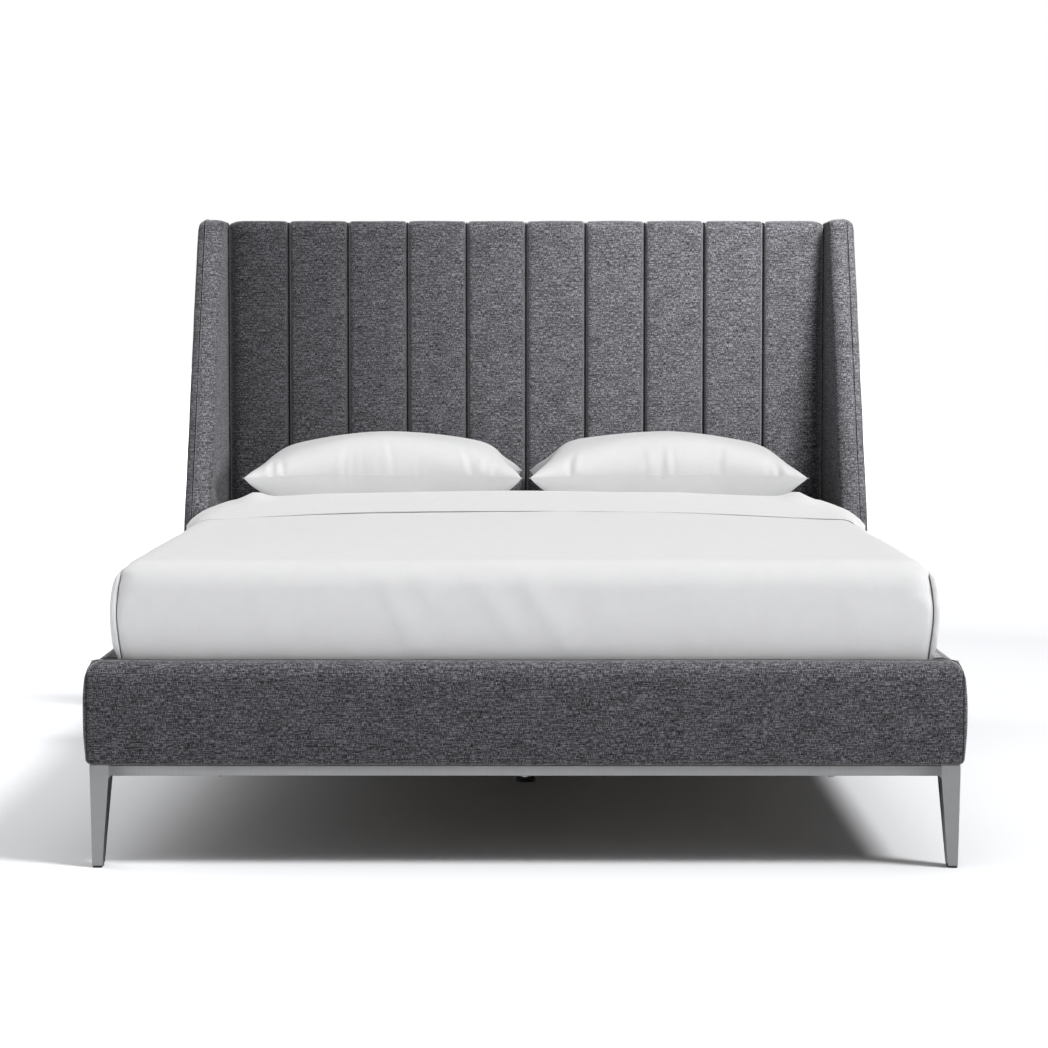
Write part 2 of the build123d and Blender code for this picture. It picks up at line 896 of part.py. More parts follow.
def turned_down_band():
    """The head end of the top sheet and blanket, folded back over the coverlet in a soft band."""
    grow = coverlet_outside() + rest_gap
    head = coverlet_head_y() + turndown_overlap
    foot = head - turndown_length
    hem = mattress_top - turndown_drop
    half = mattress_width / 2 + grow + turndown_hem_thickness
    top = mattress_top + grow
    fold_top = top + turndown_fold_thickness
    thin = drape_section(half, coverlet_hem(), top + turndown_hem_thickness)
    thick = drape_section(half, coverlet_hem(), fold_top)
    ends = [Plane.XZ.offset(-foot) * thin, Plane.XZ.offset(-head - cut_overrun) * thick]
    band = loft(ends, ruled=True)
    crest = fold_top + mattress_crown + cut_overrun
    start = foot - cut_overrun
    round_centre = (head - turndown_fold_radius, crest - turndown_fold_radius)
    side = make_face(
        [
            Line((start, hem), (start, crest)),
            Line((start, crest), (round_centre[0], crest)),
            TangentArc((round_centre[0], crest), (head, round_centre[1]), tangent=(1, 0)),
            Line((head, round_centre[1]), (head, hem)),
            Line((head, hem), (start, hem)),
        ]
    )
    band &= along_x(side, -base_half, base_half)
    under = drape_block(grow, coverlet_head_y() + rest_gap, hem - cut_overrun)
    sheet = mattress_block(sheet_outside() + rest_gap, mattress_bottom)
    return band - under - sheet - wing_spaces()


pillow_flat_share = 0.62
pillow_under_bow_share = 0.12
pillow_crown_bow_share = 0.14
pillow_station_shares = (-1.0, -0.86, -0.6, -0.25, 0.25, 0.6, 0.86, 1.0)
pillow_loft_shares = (0.0, 0.42, 0.83, 1.0, 1.0, 0.83, 0.42, 0.0)
pillow_depth_shares = (1.0, 0.97, 0.95, 0.94, 0.94, 0.95, 0.97, 1.0)


def pillow_section(station, loft_share, depth_share):
    """One slice across a pillow: a resting flat, a pinched seam each side and a crown."""
    half = pillow_depth * depth_share / 2
    seam = pillow_seam_height
    under = seam - pillow_tip_height / 2
    bottom = under * (1 - loft_share)
    top = seam + pillow_tip_height / 2 + (pillow_height - seam - pillow_tip_height / 2) * loft_share
    flat = half * pillow_flat_share
    edges = [
        Line((-flat, bottom), (flat, bottom)),
        bowed((flat, bottom), (half, seam), pillow_under_bow_share, -1),
        bowed((half, seam), (0, top), pillow_crown_bow_share, 1),
        bowed((0, top), (-half, seam), pillow_crown_bow_share, 1),
        bowed((-half, seam), (-flat, bottom), pillow_under_bow_share, -1),
    ]
    return Plane.YZ.offset(station) * make_face(edges)


def pillow_plan():
    """A pillow seen from above: its two ends are drawn in between the corners."""
    half = pillow_length / 2
    wide = pillow_depth / 2 + cut_overrun
    edges = [Line((-half, way * wide), (half, way * wide)) for way in (-1, 1)]
    for way in (-1, 1):
        drawn = (way * (half - pillow_end_draw), 0)
        edges.append(ThreePointArc((way * half, -wide), drawn, (way * half, wide)))
    return make_face(edges)


def bowed(start, end, share, lift):
    """An arc between two points, bowed up (lift 1) or down (lift -1) by a share of its length."""
    dx, dz = end[0] - start[0], end[1] - start[1]
    length = (dx * dx + dz * dz) ** 0.5
    nx, nz = -dz / length, dx / length
    if nz * lift < 0:
        nx, nz = -nx, -nz
    sag = share * length
    middle = ((start[0] + end[0]) / 2 + nx * sag, (start[1] + end[1]) / 2 + nz * sag)
    return ThreePointArc(start, middle, end)


def pillow(way):
    """A plump pillow that lies flat against the headboard."""
    half = pillow_length / 2
    sections = [
        pillow_section(station * half, loft_share, depth_share)
        for station, loft_share, depth_share in zip(
            pillow_station_shares, pillow_loft_shares, pillow_depth_shares
        )
    ]
    shape = loft(sections, ruled=True) & along_z(pillow_plan(), 0, pillow_height)
    x = way * (half + pillow_gap / 2)
    y = recess_head_y - pillow_back_gap - pillow_depth / 2
    bed_top = mattress_top + sheet_outside() + rest_gap
    low = shape.bounding_box().min.Z
    placed = Pos(x, y, bed_top - low - pillow_sag + mattress_crown / 2) * shape
    return placed - mattress_block(sheet_outside() + rest_gap, mattress_bottom)


def parts():
    """Every named piece of the bed."""
    found = {
        "front_frame_bar": bar_along_x(metal_foot_y + bar_width / 2),
        "rear_frame_bar": bar_along_x(metal_back_y - bar_width / 2),
        "left_frame_bar": bar_along_y(-metal_half + bar_width / 2),
        "right_frame_bar": bar_along_y(metal_half - bar_width / 2),
        "front_left_leg": leg(-1, -1),
        "front_right_leg": leg(1, -1),
        "rear_left_leg": leg(-1, 1),
        "rear_right_leg": leg(1, 1),
        "leg_glides": Compound([leg_glide(x, y) for x in (-1, 1) for y in (-1, 1)]),
        "foot_rail_core": foot_rail_core(),
        "foot_rail_cover": foot_rail_cover(),
        "left_rail_core": mirrored(right_rail_core()),
        "left_rail_cover": mirrored(right_rail_cover()),
        "right_rail_core": right_rail_core(),
        "right_rail_cover": right_rail_cover(),
        "slat_ledges": Compound([slat_ledge(-1), slat_ledge(1)]),
        "head_cross_rail": head_cross_rail(),
        "centre_beam": centre_beam(),
        "beam_hangers": Compound([beam_hanger(recess_foot_y, 1), beam_hanger(cross_rail_y, -1)]),
        "rail_brackets": Compound([make(way) for make in (corner_bracket, joint_plate) for way in (-1, 1)]),
        "centre_leg": centre_leg(),
        "centre_leg_plug": centre_leg_plug(),
        "levelling_foot": levelling_foot(),
        "frame_bolts": Compound([frame_bolt(*place) for place in frame_bolt_places()]),
        "wood_screws": Compound(
            [bracket_screw(start) for start in bracket_screw_starts()]
            + [slat_screw(way * slat_screw_x(), y) for way in (-1, 1) for y in slat_centres()]
        ),
        "headboard_board": headboard_board(),
        "headboard_battens": Compound([headboard_batten(x) for x in batten_centres()]),
        "headboard_back_cover": headboard_back_cover(),
        "left_wing_core": mirrored(wing_core()),
        "left_wing_cover": mirrored(wing_cover()),
        "right_wing_core": wing_core(),
        "right_wing_cover": wing_cover(),
        "mattress_foam": mattress_foam(),
        "mattress_cover": mattress_cover(),
        "fitted_sheet": fitted_sheet(),
        "coverlet": coverlet(),
        "turned_down_band": turned_down_band(),
        "left_pillow": pillow(-1),
        "right_pillow": pillow(1),
    }
    for index, centre in enumerate(slat_centres()):
        found[f"slat_{index + 1:02d}"] = slat(centre)
    for index in range(channel_count):
        found[f"channel_pad_{index + 1:02d}"] = channel_pad(index)
    return found


def frame_bolt(x, y, grip):
    """A hexagon bolt that comes up through the metal frame into the wood above it."""
    head = extrude(Pos(x, y, bar_bottom - bolt_head_height) * RegularPolygon(bolt_head_radius, 6), amount=bolt_head_height)
    return head + rod(x, y, bar_bottom - bolt_head_height, ground_clearance + grip, bolt_radius)


os.makedirs("parts", exist_ok=True)
for name, shape in parts().items():
    export_step(shape, f"parts/{name}.step")
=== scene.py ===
import json
import math

import bmesh
import bpy
import numpy as np
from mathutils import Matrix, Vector, noise

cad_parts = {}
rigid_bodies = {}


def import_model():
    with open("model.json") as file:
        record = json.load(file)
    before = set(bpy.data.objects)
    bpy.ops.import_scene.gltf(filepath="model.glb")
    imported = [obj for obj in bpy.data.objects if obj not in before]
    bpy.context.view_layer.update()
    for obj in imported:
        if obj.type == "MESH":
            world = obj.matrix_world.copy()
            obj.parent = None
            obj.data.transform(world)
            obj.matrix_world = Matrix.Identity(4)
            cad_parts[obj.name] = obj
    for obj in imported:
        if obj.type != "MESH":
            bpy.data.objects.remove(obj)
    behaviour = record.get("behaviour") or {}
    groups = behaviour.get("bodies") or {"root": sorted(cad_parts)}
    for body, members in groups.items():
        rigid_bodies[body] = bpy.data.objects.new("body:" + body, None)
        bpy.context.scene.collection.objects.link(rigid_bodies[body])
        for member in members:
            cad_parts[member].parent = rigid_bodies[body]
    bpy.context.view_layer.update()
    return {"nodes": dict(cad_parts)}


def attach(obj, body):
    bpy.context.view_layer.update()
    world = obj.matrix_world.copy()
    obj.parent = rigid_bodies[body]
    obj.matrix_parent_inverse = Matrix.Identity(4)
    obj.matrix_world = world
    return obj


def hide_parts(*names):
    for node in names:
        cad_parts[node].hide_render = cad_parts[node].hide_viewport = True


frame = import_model()
nodes = frame["nodes"]

QUARTER = math.pi / 2

# Places in metres, as the frame has them. The foot of the bed faces -Y.
RECESS_HALF = 0.770
BASE_HALF = 0.825
WING_HALF = 0.832
FOOT_Y = -1.1005
BACK_Y = 1.1005
RECESS_FOOT_Y = -1.0455
HEAD_Y = 1.0005
BOARD_Y = 1.0485
WING_FRONT_Y = 0.4705
WING_TOP_Y = 0.8965
GROUND = 0.195
RAIL_TOP = 0.391
TOP = 1.294
CHANNEL_FLOOR = 0.311
CAP_FLOOR = 1.270
CHANNELS = 10

BED_HALF = 0.762
BED_FOOT_Y = -1.0375
BED_HEAD_Y = 0.9945
BED_BOTTOM = 0.3053
BED_TOP = 0.5673
BED_EDGE = 0.046
BED_CROWN = 0.018
COVERLET_GROW = 0.0071
COVERLET_HEAD_Y = 0.5205
COVERLET_HEM = 0.339
BAND_HEM_Y = 0.2005
BAND_FOLD_Y = 0.5405
BAND_DROP_Z = 0.4473


# Small tools for meshes

def smooth_step(value):
    value = np.clip(value, 0.0, 1.0)
    return value * value * (3 - 2 * value)


def hill(distance, width):
    """A bell curve: 1 at no distance, and near 0 beyond twice the width."""
    return np.exp(-((distance / width) ** 2))


def grid_faces(rows, columns, wrap=False, start=0):
    """Quads between neighbouring rows of points; wrap joins the last column to the first."""
    faces = []
    for row in range(rows - 1):
        a = start + row * columns
        b = a + columns
        for column in range(columns if wrap else columns - 1):
            after = (column + 1) % columns
            faces.append((a + column, a + after, b + after, b + column))
    return faces


def ring_faces(rows, columns, joined=False):
    """Quads along a row of closed rings, its two ends joined up or each under one face."""
    faces = grid_faces(rows, columns, wrap=True)
    last = (rows - 1) * columns
    if joined:
        pairs = [(k, (k + 1) % columns) for k in range(columns)]
        return faces + [(last + one, last + two, two, one) for one, two in pairs]
    return faces + [tuple(range(columns)), tuple(range(last, last + columns))]


def read(items, key, width=3, kind=np.float32):
    """One property of a mesh's items, with a row for each."""
    values = np.zeros(len(items) * width, kind)
    items.foreach_get(key, values)
    return values.reshape(-1, width) if width > 1 else values


def points_of(obj):
    return read(obj.data.vertices, "co", kind=float)


def set_points(obj, points):
    obj.data.vertices.foreach_set("co", points.astype(np.float32).ravel())
    obj.data.update()


def push_out(obj, points, distance):
    """Moves each point along its normal."""
    normals = read(obj.data.vertices, "normal").astype(float)
    set_points(obj, points + normals * distance[:, None])


def box_uv(mesh):
    """A UV map in metres, seen along each face's main direction."""
    normals = np.abs(read(mesh.polygons, "normal")) * np.array([1.0, 1.02, 1.04], np.float32)
    main = np.repeat(normals.argmax(axis=1), read(mesh.polygons, "loop_total", 1, np.int32))
    corner = read(mesh.vertices, "co")[read(mesh.loops, "vertex_index", 1, np.int32)]
    across = np.where(main == 0, corner[:, 1], corner[:, 0])
    upward = np.where(main == 2, corner[:, 1], corner[:, 2])
    flat = np.stack([across, upward], axis=1).astype(np.float32)
    mesh.uv_layers.new(name="weave").data.foreach_set("uv", flat.ravel())


def rework(mesh, weld=0.0, closed=True):
    """Welds a mesh's points and turns its faces outwards."""
    work = bmesh.new()
    work.from_mesh(mesh)
    if weld:
        bmesh.ops.remove_doubles(work, verts=work.verts, dist=weld)
        bmesh.ops.dissolve_degenerate(work, edges=work.edges, dist=1e-6)
    if closed:
        bmesh.ops.recalc_face_normals(work, faces=work.faces)
    work.to_mesh(mesh)
    work.free()


def make_mesh(name, points, faces, weld=0.0, closed=True):
    mesh = bpy.data.meshes.new(name)
    mesh.from_pydata(np.asarray(points, float).tolist(), [], faces)
    rework(mesh, weld, closed)
    obj = bpy.data.objects.new(name, mesh)
    bpy.context.scene.collection.objects.link(obj)
    return obj


def apply_modifiers(obj):
    graph = bpy.context.evaluated_depsgraph_get()
    graph.update()
    mesh = bpy.data.meshes.new_from_object(obj.evaluated_get(graph), depsgraph=graph)
    obj.modifiers.clear()
    obj.data = mesh
    mesh.name = obj.name


def thicken(obj, thickness, offset=-1.0):
    wall = obj.modifiers.new("thickness", "SOLIDIFY")
    wall.thickness = thickness
    wall.offset = offset
    wall.use_even_offset = wall.use_quality_normals = True
    apply_modifiers(obj)


def lumps(points, size, seed=0.0):
    """Smooth noise from about -1 to 1 at each point, with features of that size."""
    shift = Vector((seed * 7.13, seed * 3.71, seed * 5.37))
    return np.array([noise.noise(Vector(p) / size + shift) for p in points])


def dress(obj, material, body, replaces=()):
    """Finishes a piece: its material, its UV map, its body and what it stands for."""
    obj.data.materials.clear()
    obj.data.materials.append(material)
    for polygon in obj.data.polygons:
        polygon.use_smooth = True
    box_uv(obj.data)
    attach(obj, body)
    if replaces:
        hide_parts(*replaces)
    return obj


def tube(points, radius, sides=6, closed=False):
    """Points and faces of a thin round strip along a line of points."""
    line = np.array(points, float)
    ahead, behind = np.roll(line, -1, axis=0), np.roll(line, 1, axis=0)
    if not closed:
        ahead[-1], behind[0] = line[-1], line[0]
    along = ahead - behind
    along /= np.maximum(np.linalg.norm(along, axis=1, keepdims=True), 1e-9)
    turn = np.arange(sides) * 4 * QUARTER / sides
    rings, side = [], np.cross(along[0], (0.31, 0.52, 0.79))
    for here, way, size in zip(line, along, np.broadcast_to(radius, len(line))):
        side = side - way * np.dot(side, way)
        side /= np.linalg.norm(side)
        spokes = np.cos(turn)[:, None] * side + np.sin(turn)[:, None] * np.cross(way, side)
        rings.append(here + size * spokes)
    return np.concatenate(rings), ring_faces(len(line), sides, closed)


def join_parts(parts):
    """Points and faces of several parts as one."""
    verts, faces, start = [], [], 0
    for part_verts, part_faces in parts:
        verts.append(np.array(part_verts, float))
        faces.extend(tuple(start + k for k in face) for face in part_faces)
        start += len(part_verts)
    return np.concatenate(verts), faces


def strips_piece(name, strips, material, body):
    """Thin strips as one piece: seams, painted seam shadows, stitches, tape, rolled edges."""
    return dress(make_mesh(name, *join_parts(strips)), material, body)


def steps_along(line):
    """How long each step is from one point of a line to the next."""
    return np.linalg.norm(np.diff(line, axis=0), axis=1)


# Materials

class Nodes:
    """Short calls that add nodes to one node tree."""

    def __init__(self, tree):
        self.tree = tree
        tree.nodes.clear()

    def add(self, kind, inputs=(), **values):
        """A node and its settings; an input takes a number, a colour or another node's output."""
        made = self.tree.nodes.new("ShaderNode" + kind)
        for key, value in values.items():
            setattr(made, key, value)
        for key, value in dict(inputs).items():
            if isinstance(value, bpy.types.NodeSocket):
                self.tree.links.new(value, made.inputs[key])
            else:
                made.inputs[key].default_value = value
        return made

    def place(self, *scale, uv=True, turn=0.0):
        """The piece's own coordinates in metres, times a scale for each axis."""
        if uv:
            source = self.add("UVMap", uv_map="weave").outputs["UV"]
        else:
            source = self.add("TexCoord").outputs["Object"]
        turned = {"Vector": source, "Scale": scale, "Rotation": (0, 0, turn)}
        return self.add("Mapping", turned).outputs["Vector"]

    def noise(self, vector, scale=1.0, detail=2.0, roughness=0.5, distortion=0.0):
        sizes = {"Scale": scale, "Detail": detail, "Roughness": roughness, "Distortion": distortion}
        return self.add("TexNoise", {"Vector": vector, **sizes}).outputs["Fac"]

    def cells(self, vector, randomness=1.0, **values):
        return self.add(
            "TexVoronoi", {"Vector": vector, "Scale": 1.0, "Randomness": randomness}, **values
        ).outputs["Distance"]

    def math(self, kind, first, second=0.0):
        return self.add("Math", {0: first, 1: second}, operation=kind).outputs[0]

    def total(self, *terms):
        """The sum of some fields, each times its weight."""
        parts = [self.math("MULTIPLY", field, weight) for field, weight in terms]
        while len(parts) > 1:
            parts[:2] = [self.math("ADD", parts[0], parts[1])]
        return parts[0]

    def ramp(self, field, *stops):
        made = self.add("ValToRGB", {"Fac": field})
        elements = made.color_ramp.elements
        while len(elements) < len(stops):
            elements.new(0.5)
        for element, (place, colour) in zip(elements, stops):
            element.position = place
            element.color = (*colour, 1.0)
        return made.outputs["Color"]

    def fit(self, field, low, high, low_out, high_out):
        """A field's range from low to high, drawn out to another range."""
        ends = {"From Min": low, "From Max": high, "To Min": low_out, "To Max": high_out}
        return self.add("MapRange", {"Value": field, **ends}).outputs["Result"]


class Finish(Nodes):
    """A material in the making: its fields come first, and its shader last."""

    def __init__(self, name):
        self.material = bpy.data.materials.new(name)
        self.material.use_nodes = True
        super().__init__(self.material.node_tree)

    def shade(self, colour, rough, height=None, depth=0.0, strength=1.0, more=()):
        inputs = {"Base Color": colour, "Roughness": rough, **dict(more)}
        if height is not None:
            relief = self.add("Bump", {"Height": height, "Distance": depth, "Strength": strength})
            inputs["Normal"] = relief.outputs["Normal"]
        self.shader = self.add("BsdfPrincipled", inputs)
        self.add("OutputMaterial", {"Surface": self.shader.outputs["BSDF"]})
        return self.material


def lifted(lift, *tones):
    return [tuple(lift * part for part in tone) for tone in tones]


WEAVE_STOPS = (0.44, 0.53, 0.65)
WEAVE_TONES = ((0.0035, 0.0034, 0.0041), (0.034, 0.0332, 0.0375), (0.168, 0.1650, 0.1790))
WEAVE_FUZZ = ((0.46, 0.46, 0.47), (0.69, 0.69, 0.72), (0.94, 0.94, 0.95))
COTTON_TONES = ((0.765, 0.765, 0.770), (0.815, 0.815, 0.817))
METAL = {"Metallic": 0.9}
PLY_LAYERS = 0.0036


def charcoal_weave(name="charcoal_weave", lift=1.0, shaded_side_sheen=None):
    """A coarse heathered plain weave: cross threads with slubs, upright threads, dark pores."""
    made = Finish(name)
    weft = made.noise(made.place(88.0, 760.0, 1), detail=1.0)
    warp = made.noise(made.place(760.0, 130.0, 1), detail=1.0)
    speck = made.noise(made.place(860.0, 760.0, 1), detail=1.0, roughness=0.6)
    slub = made.noise(made.place(20.0, 400.0, 1), detail=1.0)
    cloud = made.noise(made.place(16.0, 24.0, 1), detail=3.0)
    height = made.total((made.math("MAXIMUM", weft, warp), 0.66), (speck, 0.18), (slub, 0.16))
    shade = made.total((height, 1.0), (cloud, 0.05), (0.5, -0.05))
    colour = made.ramp(shade, *zip(WEAVE_STOPS, lifted(lift, *WEAVE_TONES)))
    fuzz = made.ramp(shade, *zip(WEAVE_STOPS, WEAVE_FUZZ))
    cloth = {"Specular IOR Level": 0.2, "Sheen Weight": 0.68, "Sheen Roughness": 0.38}
    cloth["Sheen Tint"] = fuzz
    material = made.shade(colour, made.fit(speck, 0.3, 0.7, 0.98, 0.84), height, 0.0011, 0.7, cloth)
    # Painted sheen and shade: faces that point sideways get a lower sheen, set apart for each wing, so
    # each wing's sides come out darker or lighter as light falls on them.
    if shaded_side_sheen is not None:
        facing = made.add("SeparateXYZ", {0: made.add("TexCoord").outputs["Normal"]})
        sheen = made.fit(made.math("ABSOLUTE", facing.outputs["X"]), 0.35, 0.92, 0.68, shaded_side_sheen)
        made.tree.links.new(sheen, made.shader.inputs["Sheen Weight"])
    return material


def white_cotton(name="white_cotton", lift=1.0):
    """Washed white percale: a fine close weave with soft rumpling."""
    made = Finish(name)
    weft = made.noise(made.place(260.0, 1500.0, 1))
    warp = made.noise(made.place(1500.0, 260.0, 1))
    soft = made.noise(made.place(30.0, 30.0, 1), detail=4.0)
    threads = made.total((weft, 0.5), (warp, 0.5))
    shade = made.total((threads, 0.6), (soft, 0.4))
    colour = made.ramp(shade, *zip((0.3, 0.7), lifted(lift, *COTTON_TONES)))
    height = made.total((threads, 0.25), (soft, 0.75))
    cloth = {"Specular IOR Level": 0.2, "Sheen Weight": 0.06, "Sheen Roughness": 0.6}
    return made.shade(colour, made.fit(threads, 0.3, 0.7, 0.95, 0.86), height, 0.0012, 0.5, cloth)


def cotton_thread(name, *tone):
    made = Finish(name)
    twist = made.noise(made.place(900.0, 900.0, 900.0, uv=False), detail=1.0)
    colour = made.ramp(twist, (0.35, lifted(0.8, tone)[0]), (0.65, tone))
    return made.shade(colour, 0.75, twist, 0.0003, 0.6)


def satin_steel(name, dark, light):
    """Satin metal, with a faint brushed grain and soft uneven gloss."""
    made = Finish(name)
    grain = made.noise(made.place(900.0, 900.0, 60.0, uv=False))
    blotch = made.noise(made.place(12.0, 12.0, 12.0, uv=False), detail=3.0)
    shade = made.total((grain, 0.5), (blotch, 0.5))
    colour = made.ramp(shade, (0.3, dark), (0.7, light))
    return made.shade(colour, made.fit(shade, 0.3, 0.7, 0.32, 0.44), grain, 0.00012, 0.3, METAL)


def zinc_steel():
    """Bright zinc plating with its faint crystal flakes."""
    made = Finish("zinc_steel")
    vector = made.place(220.0, 220.0, 220.0, uv=False)
    shade = made.total((made.cells(vector), 0.6), (made.noise(vector, 4.0), 0.4))
    colour = made.ramp(shade, (0.1, (0.46, 0.48, 0.50)), (0.8, (0.66, 0.67, 0.68)))
    return made.shade(colour, made.fit(shade, 0.1, 0.8, 0.3, 0.5), shade, 0.0001, 0.3, METAL)


def black_nylon():
    made = Finish("black_nylon")
    grain = made.noise(made.place(1400.0, 1400.0, 1400.0, uv=False))
    colour = made.ramp(grain, (0.3, (0.012, 0.012, 0.013)), (0.7, (0.028, 0.028, 0.029)))
    return made.shade(colour, made.fit(grain, 0.3, 0.7, 0.42, 0.58), grain, 0.0002, 0.4)


def wood(name, scale, dark, light):
    """Planed wood: long grain along one axis, with growth rings and fine pores."""
    made = Finish(name)
    vector = made.place(*scale, uv=False)
    waves = made.noise(vector, detail=3.0, roughness=0.6, distortion=0.6)
    pores = made.noise(vector, 14.0, roughness=0.7)
    inputs = {"Vector": vector, "Scale": 7.0, "Distortion": 6.0, "Detail": 3.0}
    rings = made.add("TexWave", inputs, wave_type="RINGS", rings_direction="X").outputs["Fac"]
    shade = made.total((waves, 0.5), (rings, 0.25), (pores, 0.25))
    colour = made.ramp(shade, (0.3, dark), (0.7, light))
    return made.shade(colour, made.fit(pores, 0.3, 0.7, 0.68, 0.52), shade, 0.0005, 0.5)


def plywood():
    """Birch ply: a plain face, with its layers showing on the edges."""
    made = Finish("plywood")
    vector = made.place(6.0, 40.0, 1.6, uv=False)
    grain = made.noise(vector, 2.0, detail=4.0, roughness=0.6, distortion=0.8)
    split = made.add("SeparateXYZ", {0: made.add("TexCoord").outputs["Object"]})
    stripes = made.math("SINE", made.math("MULTIPLY", split.outputs["Y"], 4 * QUARTER / PLY_LAYERS))
    shade = made.total((grain, 0.8), (stripes, 0.08))
    colour = made.ramp(shade, (0.2, (0.42, 0.29, 0.17)), (0.65, (0.66, 0.50, 0.33)))
    return made.shade(colour, made.fit(grain, 0.3, 0.7, 0.7, 0.58), shade, 0.0004, 0.4)


def mattress_knit():
    """Stretch knit with a small quilted lozenge."""
    made = Finish("mattress_knit")
    fine = made.noise(made.place(900.0, 900.0, 1))
    quilt = made.cells(made.place(34.0, 34.0, 1, turn=QUARTER / 2), 0.0, feature="SMOOTH_F1")
    height = made.total((fine, 0.2), (quilt, -0.8))
    colour = made.ramp(fine, (0.3, (0.62, 0.62, 0.63)), (0.7, (0.76, 0.76, 0.765)))
    return made.shade(colour, made.fit(fine, 0.3, 0.7, 0.95, 0.8), height, 0.003, 0.5)


def dust_cloth():
    """Black spun-bonded cloth, with its small pressed dots."""
    made = Finish("dust_cloth")
    dots = made.cells(made.place(420.0, 420.0, 1), 0.25)
    fibre = made.noise(made.place(700.0, 700.0, 1), detail=3.0, roughness=0.7)
    shade = made.total((dots, 0.4), (fibre, 0.6))
    colour = made.ramp(shade, (0.3, (0.010, 0.010, 0.011)), (0.75, (0.045, 0.045, 0.047)))
    return made.shade(colour, made.fit(fibre, 0.3, 0.7, 0.9, 0.7), shade, 0.0004, 0.6)


PINE = ((0.48, 0.42, 0.35), (0.66, 0.60, 0.52))
WEAVE = charcoal_weave()
# The wings' copies differ only in their painted side sheen: the right wing's sides are shaded darker
# than the left wing's.
LEFT_WING_SHADED_WEAVE = charcoal_weave("charcoal_weave_left_shaded", shaded_side_sheen=0.12)
RIGHT_WING_SHADED_WEAVE = charcoal_weave("charcoal_weave_right_shaded", shaded_side_sheen=0.06)
COTTON = white_cotton()
PILLOW_COTTON = white_cotton("pillow_cotton", 0.88)
GREY_THREAD = cotton_thread("grey_thread", 0.30, 0.30, 0.32)
# Near-black thread for cords that paint the dark shadow lines of seams and grooves.
SEAM_SHADOW_THREAD = cotton_thread("seam_shadow_thread", 0.006, 0.006, 0.007)
WHITE_THREAD = cotton_thread("white_thread", 0.80, 0.80, 0.80)
STEEL = satin_steel("satin_steel", (0.26, 0.26, 0.263), (0.325, 0.325, 0.328))
# Near-black steel that paints the shade inside the legs' hollow inner sides.
HOLLOW_SHADE_STEEL = satin_steel("hollow_shade_steel", (0.012, 0.012, 0.013), (0.03, 0.03, 0.031))
ZINC = zinc_steel()
KNIT = mattress_knit()
DUST = dust_cloth()

# Rigid parts of the frame keep their solids and take better materials.
SOLID_FINISHES = (
    (STEEL, ("centre_leg", "frame_bolts")),
    (ZINC, ("beam_hangers", "rail_brackets", "wood_screws")),
    (black_nylon(), ("leg_glides", "centre_leg_plug", "levelling_foot")),
    (
        wood("slat_beech", (2.2, 34.0, 34.0), (0.50, 0.44, 0.37), (0.68, 0.625, 0.55)),
        [f"slat_{index:02d}" for index in range(1, 12)],
    ),
    (wood("pine_across", (1.8, 26.0, 26.0), *PINE), ("foot_rail_core", "head_cross_rail")),
    (
        wood("pine_along", (26.0, 1.8, 26.0), *PINE),
        ("left_rail_core", "right_rail_core", "slat_ledges", "centre_beam"),
    ),
    (
        wood("pine_upright", (26.0, 26.0, 1.8), *PINE),
        ("headboard_battens", "left_wing_core", "right_wing_core"),
    ),
    (plywood(), ("headboard_board",)),
)


def paint_frame():
    for material, names in SOLID_FINISHES:
        for name in names:
            slots = nodes[name].material_slots
            if not slots:
                nodes[name].data.materials.append(material)
            for slot in nodes[name].material_slots:
                slot.material = material


# Metal underframe

METAL_HALF = 0.817
METAL_END = 1.0905
LEG_HEAD = (0.036, 0.060)
LEG_FOOT = (0.019, 0.035)
LEG_LEAN = 0.003
BAR_BOTTOM = 0.175
LEG_TIP = 0.004
LEG_LIP = 0.0014
LEG_HOLLOW = 0.0008
METAL_ROUND = 0.0016
INNER_ROUND = 0.0007
LEG_CORNER_STEPS = 5
WELD_RADIUS = 0.007


def rounded_ring(centre, half, radii, steps):
    """A rectangle's outline; radii are those of its right and of its left corners."""
    ring = []
    for way_a, way_b, start in ((1, -1, -1), (1, 1, 0), (-1, 1, 1), (-1, -1, 2)):
        radius = radii[0] if way_a > 0 else radii[1]
        for turn in np.linspace(start, start + 1, steps) * QUARTER:
            a = centre[0] + way_a * (half[0] - radius) + radius * math.cos(turn)
            ring.append((a, centre[1] + way_b * (half[1] - radius) + radius * math.sin(turn)))
    return ring


def bar_piece(name, along_x, way):
    """A rectangular tube of the underframe, with its four rounded edges."""
    half = (LEG_HEAD[0] / 2, (GROUND - BAR_BOTTOM - 0.0002) / 2)
    length, centre = METAL_END - LEG_HEAD[1], way * (METAL_HALF - half[0])
    if along_x:
        length, centre = METAL_HALF - LEG_HEAD[0], way * (METAL_END - half[0])
    ring = rounded_ring((centre, BAR_BOTTOM + half[1]), half, (METAL_ROUND, METAL_ROUND), 6)
    stations = np.linspace(-length, length, 9)
    points = [(along, a, z) if along_x else (a, along, z) for along in stations for a, z in ring]
    obj = make_mesh(name + "_tube", points, ring_faces(len(stations), len(ring)))
    dress(obj, STEEL, "frame", [name])
    for polygon in obj.data.polygons:
        polygon.use_smooth = len(polygon.vertices) == 4


